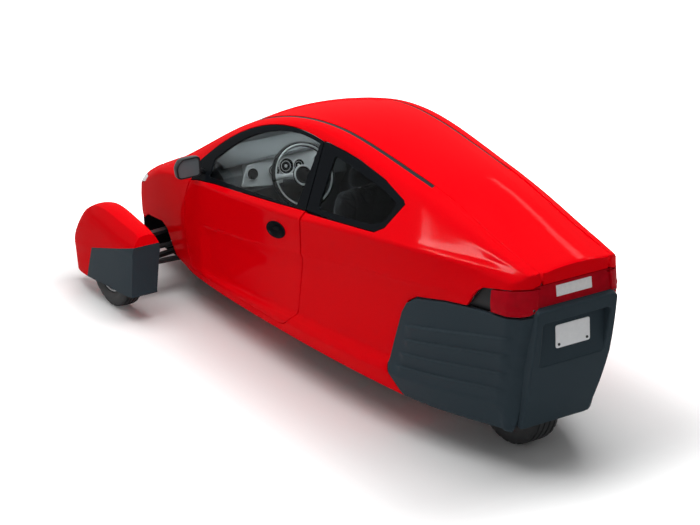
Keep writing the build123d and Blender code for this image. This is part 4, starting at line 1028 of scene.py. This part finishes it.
# tyres: ribbed tread and moulded side walls in place of the plain solids
tyres = {
    "left": {"radius": 0.278, "width": 0.116, "rim": 0.190},
    "right": {"radius": 0.278, "width": 0.116, "rim": 0.190},
    "rear": {"radius": 0.290, "width": 0.160, "rim": 0.190},
}
groove = {"depth": 0.007, "half": 0.0035, "at": (-0.48, -0.16, 0.16, 0.48)}
for name, size in tyres.items():
    low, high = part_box(name + "_tyre")
    centre = (np.array(low) + np.array(high)) / 2
    r, w, rim = size["radius"], size["width"] / 2, size["rim"]
    profile = [(-w * 0.62, rim + 0.002), (-w * 0.80, rim + 0.006), (-w * 0.86, rim + 0.016),
               (-w * 0.97, rim + 0.036), (-w * 0.995, (r + rim) / 2), (-w * 0.96, r - 0.026),
               (-w * 0.90, r - 0.016), (-w * 0.86, r - 0.009), (-w * 0.78, r - 0.0035)]
    for share in groove["at"]:
        for d, drop in ((-1.25, 0), (-0.8, 1), (0.8, 1), (1.25, 0)):
            y = share * w * 1.15 + d * groove["half"]
            crown = 0.003 * (y / w) ** 2
            profile.append((y, r - crown - drop * groove["depth"]))
    profile += [(-d, h) for d, h in profile[8::-1]]
    steps = 120
    tyre = turned(name + "TreadTyre", profile, centre, (0, 1, 0), steps, [tyreRubber])
    # sipes: every fourth step of the shoulder rows is pressed in
    co = np.array([v.co for v in tyre.data.vertices]).reshape(len(profile), steps, 3)
    for row in (6, 7, 8, len(profile) - 9, len(profile) - 8, len(profile) - 7):
        radial = co[row] - centre
        radial[:, 1] = 0
        radial /= np.linalg.norm(radial, axis=1, keepdims=True)
        co[row, ::4] -= radial[::4] * 0.004
    tyre.data.vertices.foreach_set("co", co.reshape(-1))
    tyre.data.update()
    place(hardened(tyre, 40), name + "_wheel", "tyre", name + "_tyre")

# fascia, vents and dial on the dashboard
fascia = {"foot": (0.722, 0, 0.700), "up": (0.22, 0, 0.975),
          "ventY": 0.208, "ventV": 0.088, "ventRadius": 0.036}
fasciaUp = np.array(fascia["up"]) / np.linalg.norm(fascia["up"])
fasciaOut = np.array((-fasciaUp[2], 0, fasciaUp[0]))
fasciaSkin = planeSurface(fascia["foot"], (0, 1, 0), fasciaUp, (-0.4, 0.4), (-0.05, 0.25))
fasciaLoop = softened([(-0.285, 0.028), (-0.13, 0.004), (0.13, 0.004), (0.285, 0.028), (0.235, 0.142),
                       (0.12, 0.150), (-0.12, 0.150), (-0.235, 0.142)], 0.02, 6)
fasciaPlate = panel("silverFascia", fasciaSkin, spaced(fasciaLoop, 0.012), [],
                    panelSpec([silverPaint, dashMoulding], 0.085, 0.03, 0.006, sStep=0.03))
place(fasciaPlate, "chassis", "grey_plastic")
for side, name in sides:
    spot = np.array(fascia["foot"]) + np.array((0, side * fascia["ventY"], 0)) + fasciaUp * fascia["ventV"]
    r = fascia["ventRadius"]
    profile = [(0.0, r), (0.007, r), (0.009, r * 0.94), (0.007, r * 0.88), (0.001, r * 0.84),
               (0.0015, r * 0.3), (0.006, r * 0.26), (0.007, r * 0.1)]
    vent = turned(name + "Vent", profile, spot, fasciaOut, 40, [silverPaint, blackMoulding],
                  [0, 0, 0, 1, 1, 1, 1])
    place(vent, "chassis", "black_trim")
    for k in range(-2, 3):
        reach = r * math.sqrt(max(0.05, 0.7 - (k * 0.3) ** 2))
        middle = spot + fasciaUp * (k * r * 0.3) + fasciaOut * 0.004
        slat = tube(name + "VentSlat%d" % (k + 3), [middle - (0, reach, 0), middle + (0, reach, 0)],
                    0.0022, [chassisBlack], 8)
        place(slat, "chassis", "black_trim")
for k, (y, v, r) in enumerate(((0.078, 0.082, 0.036), (0.0, 0.092, 0.048), (-0.078, 0.082, 0.036))):
    spot = np.array(fascia["foot"]) + np.array((0, y, 0)) + fasciaUp * v
    profile = [(0.0, r), (0.010, r), (0.013, r * 0.95), (0.010, r * 0.88), (0.002, r * 0.85),
               (0.003, r * 0.6), (0.0035, r * 0.55), (0.003, r * 0.2), (0.007, r * 0.14), (0.008, r * 0.04)]
    dial = turned("dial%d" % (k + 1), profile, spot, fasciaOut, 40,
                  [silverPaint, blackFilm, plateEnamel], [0, 0, 0, 1, 1, 2, 1, 0, 0])
    place(dial, "chassis", "black_trim")
shelfSection = [(0.0, 0.0), (0.006, 0.014), (0.04, 0.024), (0.16, 0.03), (0.26, 0.026), (0.26, 0.01),
                (0.03, -0.012)]
shelfHalf = 0.36
shelfLoops = []
for y in np.linspace(-shelfHalf, shelfHalf, 25):
    sweep = (y / shelfHalf) ** 2
    shelfLoops.append(np.array([(0.735 + 0.05 * sweep + a, y, 0.856 - 0.02 * sweep + b)
                                for a, b in shelfSection]))
shelf = rings("dashPad", shelfLoops, [dashMoulding])
place(hardened(shelf, 50), "chassis", "grey_plastic")

# steering wheel: grip with a silver ring painted on its face as its highlight, spokes and a plain hub
wheelHub = np.array((station(2050), 0, 0.790))
wheelTilt = math.radians(24)
wheelOut = np.array((-math.cos(wheelTilt), 0, math.sin(wheelTilt)))
wheelUp = np.array((math.sin(wheelTilt), 0, math.cos(wheelTilt)))
wheelSize = {"ring": 0.174, "grip": 0.0145, "hub": 0.058, "dish": 0.012}


def wheelPoint(turn, radius, rise=0.0):
    away = math.cos(turn) * np.array((0, 1, 0)) + math.sin(turn) * wheelUp
    return wheelHub + radius * away + wheelOut * rise


def wheelRing(name, radius, grip, rise, paint):
    loops = []
    for turn in np.linspace(0, 2 * math.pi, 97):
        centre = wheelPoint(turn, radius, rise)
        away = (centre - wheelPoint(turn, 0, rise)) / radius
        loops.append(np.array([centre + grip * (math.cos(a) * away + math.sin(a) * wheelOut)
                               for a in np.linspace(0, 2 * math.pi, 16, endpoint=False)]))
    return place(rings(name, loops, [paint]), "hand_wheel", "black_trim")


wheelGrip = wheelRing("wheelGrip", wheelSize["ring"], wheelSize["grip"], 0.0, blackMoulding)
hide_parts("steering_wheel")
# thin silver ring on the face of the grip: a painted highlight
wheelRing("wheelPaintedHighlight", wheelSize["ring"] - 0.006, 0.0055, 0.0115, silverPaint)
for k, turn in enumerate((math.radians(8), math.radians(172), math.radians(270))):
    loops = []
    for t in np.linspace(0, 1, 9):
        radius = wheelSize["hub"] * 0.8 + (wheelSize["ring"] - 0.008 - wheelSize["hub"] * 0.8) * t
        halfWide = 0.020 - 0.008 * math.sin(math.pi * t)
        across = wheelPoint(turn + math.pi / 2, 1) - wheelPoint(turn, 0)
        rise = -wheelSize["dish"] * (1 - t)
        middle = wheelPoint(turn, radius, rise)
        loops.append(np.array([middle + across * halfWide * math.cos(a) + wheelOut * 0.007 * math.sin(a)
                               for a in np.linspace(0, 2 * math.pi, 16, endpoint=False)]))
    spoke = rings("wheelSpoke%d" % (k + 1), loops, [silverPaint if k < 2 else blackMoulding])
    place(spoke, "hand_wheel", "black_trim")
h = wheelSize["hub"]
profile = [(-0.045, h * 0.5), (-0.03, h * 0.9), (-0.006, h), (0.006, h), (0.010, h * 0.94),
           (0.010, h * 0.86), (0.007, h * 0.82), (0.013, h * 0.5), (0.015, h * 0.2), (0.0152, h * 0.05)]
hub = turned("wheelHub", profile, wheelHub, wheelOut, 48,
             [blackMoulding, silverPaint], [0, 0, 0, 1, 1, 1, 0, 0, 0])
place(hub, "hand_wheel", "black_trim")
column = tube("steeringColumn", [wheelHub - wheelOut * 0.05, wheelHub - wheelOut * 0.26], 0.03,
              [blackMoulding], 20)
place(column, "chassis", "black_trim")


# seats: plinth, cushion, back and head rest, the pads swollen by a cloth simulation
seats = {
    "driver_seat": {"x": 1420, "top": 420},
    "passenger_seat": {"x": 640, "top": 450},
}
pads = {
    # middle ahead of and above the seat point, size along, across and up, lean in degrees
    # and the most that a point may swell, in metres
    "Cushion": {"at": (255, -28), "size": (430, 410, 92), "lean": -5, "cap": 0.022},
    "Back": {"at": (-22, 285), "size": (92, 410, 500), "lean": -17, "cap": 0.022},
    "HeadRest": {"at": (-112, 578), "size": (70, 250, 110), "lean": -14, "cap": 0.012},
}
padStep = 0.006


def padMesh(name, centre, size, lean):
    # rounded block with soft sides, before it is swollen
    loops = []
    halfX, halfY, halfZ = (v / 2 for v in size)
    levels = np.linspace(-1, 1, 13)
    tilt = math.radians(lean)
    for level in levels:
        share = (1 - abs(level) ** 5) ** 0.2 if abs(level) < 1 else 0.35
        loop = []
        for turn in np.linspace(0, 2 * math.pi, 40, endpoint=False):
            c, d = math.cos(turn), math.sin(turn)
            x = halfX * share * math.copysign(abs(c) ** 0.5, c)
            y = halfY * share * math.copysign(abs(d) ** 0.5, d)
            z = halfZ * level
            loop.append((centre[0] + x * math.cos(tilt) + z * math.sin(tilt), centre[1] + y,
                         centre[2] - x * math.sin(tilt) + z * math.cos(tilt)))
        loops.append(np.array(loop))
    return rings(name, loops, [seatCloth])


def swollen(piece, cap):
    # even mesh, inflated by cloth pressure, each point kept within the cap
    remesh = piece.modifiers.new("even", "REMESH")
    remesh.mode = "VOXEL"
    remesh.voxel_size = padStep
    bpy.context.view_layer.objects.active = piece
    bpy.ops.object.modifier_apply(modifier=remesh.name)
    before = np.array([v.co for v in piece.data.vertices])
    cloth = piece.modifiers.new("cloth", "CLOTH")
    cloth.settings.use_pressure = True
    cloth.settings.uniform_pressure_force = 4
    cloth.settings.effector_weights.gravity = 0
    cloth.point_cache.frame_start, cloth.point_cache.frame_end = 1, 20
    for number in range(1, 21):
        scene.frame_set(number)
    bpy.ops.object.modifier_apply(modifier=cloth.name)
    scene.frame_set(1)
    after = np.array([v.co for v in piece.data.vertices])
    move = after - before
    size = np.linalg.norm(move, axis=1, keepdims=True)
    after = before + move * np.minimum(1, cap / (size + 1e-9))
    piece.data.vertices.foreach_set("co", after.reshape(-1))
    return after


def channelled(piece, points, across, spacing, depth):
    # sewn channels: valleys pressed in along lines a spacing apart
    middle = points.mean(0)
    wave = np.cos((points[:, across] - middle[across]) / spacing * 2 * math.pi)
    press = depth * np.clip(wave - 0.86, 0, 1) / 0.14
    inward = middle - points
    inward /= np.linalg.norm(inward, axis=1, keepdims=True)
    piece.data.vertices.foreach_set("co", (points + inward * press[:, None]).reshape(-1))


for name, seat in seats.items():
    for padName, pad in pads.items():
        centre = (station(seat["x"] + pad["at"][0]), 0, (seat["top"] + pad["at"][1]) / 1000)
        piece = padMesh(name.split("_")[0] + padName, centre, [v / 1000 for v in pad["size"]], pad["lean"])
        points = swollen(piece, pad["cap"])
        if padName != "HeadRest":
            channelled(piece, points, 1, 0.105, 0.006)
        smooth = piece.modifiers.new("smooth", "SUBSURF")
        smooth.levels = smooth.render_levels = 1
        piece.data.polygons.foreach_set("use_smooth", [True] * len(piece.data.polygons))
        place(piece, "chassis", "seat_cloth")
        if padName == "Cushion":
            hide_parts(name)
    low, top = 0.205, (seat["top"] - 88) / 1000
    plinthLoops = [np.array([(station(seat["x"] + 225) + a * 0.19 * share, b * 0.19 * share, z)
                             for a, b in softened([(-1, -1), (1, -1), (1, 1), (-1, 1)], 0.25, 5)])
                   for z, share in ((low, 0.98), (low + 0.012, 1.0), (low + 0.03, 0.94),
                                    (top - 0.02, 0.9), (top, 0.86))]
    plinth = rings(name.split("_")[0] + "SeatPlinth", plinthLoops, [blackMoulding])
    place(hardened(plinth), "chassis", "black_trim")
    for side, label in ((leftSide, "Left"), (rightSide, "Right")):
        foot = (station(seat["x"] - 92), side * 0.06, (seat["top"] + 510) / 1000)
        head = (foot[0] - 0.02, foot[1], foot[2] + 0.07)
        post = tube(name.split("_")[0] + "RestPost" + label, [foot, head], 0.007, [castAluminium], 12)
        place(post, "chassis", "cast_alloy")


# finish of every solid that still shows
finishes = {
    redEnamel: ["front_clip", "left_side_frame", "right_side_frame", "left_door", "roof_panel", "hood",
                "left_pod", "right_pod"],
    greyMoulding: ["left_cladding", "right_cladding", "rear_bumper", "left_pod_skirt", "right_pod_skirt"],
    blackMoulding: ["roof_gutters", "floor_pan", "door_handle", "left_mirror", "right_mirror"],
    clearGlass: ["windscreen", "left_door_glass", "right_front_glass"],
    smokedGlass: ["quarter_glasses"],
    redLens: ["left_tail_lamp", "right_tail_lamp"],
    clearLens: ["reversing_lamp"],
    tyreRubber: ["left_tyre", "right_tyre", "rear_tyre"],
    dashMoulding: ["dashboard", "steering_wheel", "bulkheads"],
    chassisBlack: ["front_subframe", "left_arms", "right_arms", "drive_shafts", "left_knuckle",
                   "right_knuckle", "steering_rack", "swing_arm"],
    castAluminium: ["engine_block", "left_rim", "right_rim", "rear_rim"],
    seatCloth: ["driver_seat", "passenger_seat"],
}
for material, names in finishes.items():
    for name in names:
        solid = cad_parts[name]
        solid.data.materials.clear()
        solid.data.materials.append(material)
print("solids finished")

# camera where the photo was taken from, long lens from behind on the left
camera = {"lens": 119.26, "yaw": 240.953, "pitch": 20.847, "roll": -2.810, "place": (-10.0475, 5.617, 4.832)}
yaw, pitch, roll = (math.radians(camera[key]) for key in ("yaw", "pitch", "roll"))
backward = Vector((math.sin(yaw) * math.cos(pitch), -math.cos(yaw) * math.cos(pitch), math.sin(pitch)))
level = Vector((math.cos(yaw), math.sin(yaw), 0))
above = backward.cross(level)
right = level * math.cos(roll) + above * math.sin(roll)
upward = above * math.cos(roll) - level * math.sin(roll)
lens = bpy.data.cameras.new("camera")
lens.lens = camera["lens"]
lens.sensor_width = 36
lens.clip_end = 100
viewer = bpy.data.objects.new("camera", lens)
viewer.matrix_world = Matrix((right, upward, backward)).transposed().to_4x4()
viewer.matrix_world.translation = camera["place"]
scene.collection.objects.link(viewer)
scene.camera = viewer

# plain pale floor that keeps the soft shadow
floorPaper, shader = newMaterial("floorPaper", "#f4f4f4", Roughness=0.9, Specular_IOR_Level=0.1)
# the paper fades to the white of the background away from the car
spot = addNode(floorPaper, "ShaderNodeTexCoord")
far = addNode(floorPaper, "ShaderNodeVectorMath", {0: spot.outputs["Object"]}, operation="ABSOLUTE")
for operation, amount in (("SUBTRACT", (1.75, 0.60, 9.0)), ("MAXIMUM", (0, 0, 0)), ("LENGTH", (0, 0, 0))):
    far = addNode(floorPaper, "ShaderNodeVectorMath", {0: far.outputs["Vector"]}, operation=operation)
    far.inputs[1].default_value = amount
fade = addNode(floorPaper, "ShaderNodeMapRange", {"Value": far.outputs["Value"]},
               interpolation_type="SMOOTHSTEP", From_Min=0.05, From_Max=1.25)
path = addNode(floorPaper, "ShaderNodeLightPath")
white = addNode(floorPaper, "ShaderNodeMath", {0: fade.outputs["Result"], 1: path.outputs["Is Camera Ray"]},
                operation="MULTIPLY")
floorPaper.node_tree.links.new(white.outputs[0], shader.inputs["Emission Strength"])
shader.inputs["Emission Color"].default_value = (1, 1, 1, 1)
floorSide = 9
sweep = np.linspace(-14, 14, floorSide)
spots = [(x, y, -0.002) for x in sweep for y in sweep]
squares = []
for i in range(floorSide - 1):
    for j in range(floorSide - 1):
        first = i * floorSide + j
        squares.append((first, first + floorSide, first + floorSide + 1, first + 1))
floor = meshObject("floor", spots, squares, [floorPaper])
floor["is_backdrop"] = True

# studio light: a large soft box overhead, weak boxes at both ends and strips that draw the shoulder line
lights = [
    {"name": "topBox", "place": (-0.6, 0.3, 5.5), "aim": (0, 0, 0.5), "size": (6.0, 4.0),
     "power": 330, "gloss": False},
    {"name": "sideBox", "place": (-4.0, 6.5, 3.2), "aim": (0, 0, 0.6), "size": (5.0, 3.0),
     "power": 14, "gloss": False},
    {"name": "frontBox", "place": (6.0, -3.0, 4.5), "aim": (0, 0, 0.6), "size": (4.0, 3.0),
     "power": 90, "gloss": False},
    {"name": "leftStrip", "place": (-0.5, 3.4, 4.6), "aim": (-0.3, 0, 1.0), "size": (6.0, 0.35),
     "power": 280, "gloss": True},
    {"name": "rightStrip", "place": (-0.5, -3.4, 4.6), "aim": (-0.3, 0, 1.0), "size": (6.0, 0.35),
     "power": 60, "gloss": True},
]
for item in lights:
    lamp = bpy.data.lights.new(item["name"], "AREA")
    lamp.shape = "RECTANGLE"
    lamp.size, lamp.size_y = item["size"]
    lamp.energy = item["power"]
    holder = bpy.data.objects.new(item["name"], lamp)
    holder.location = item["place"]
    holder.rotation_euler = (Vector(item["aim"]) - Vector(item["place"])).to_track_quat("-Z", "Y").to_euler()
    holder.visible_glossy = item["gloss"]
    holder.visible_diffuse = not item["gloss"]
    scene.collection.objects.link(holder)

# white background for the camera, reflections and glass, a plain level for the rest
world = bpy.data.worlds.new("studio")
world.use_nodes = True
scene.world = world
glow = world.node_tree.nodes["Background"]
glow.inputs["Color"].default_value = (1, 1, 1, 1)
path = addNode(world, "ShaderNodeLightPath")
seen = addNode(world, "ShaderNodeMath", {0: path.outputs["Is Camera Ray"], 1: path.outputs["Is Glossy Ray"]},
               operation="MAXIMUM")
seen = addNode(world, "ShaderNodeMath", {0: seen.outputs[0], 1: path.outputs["Is Transmission Ray"]},
               operation="MAXIMUM")
level = addNode(world, "ShaderNodeMapRange", {"Value": seen.outputs[0]}, To_Min=0.26, To_Max=1.0)
world.node_tree.links.new(level.outputs["Result"], glow.inputs["Strength"])
print("stage set")

low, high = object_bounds()
print("bounds", [round(v, 3) for v in low], [round(v, 3) for v in high])
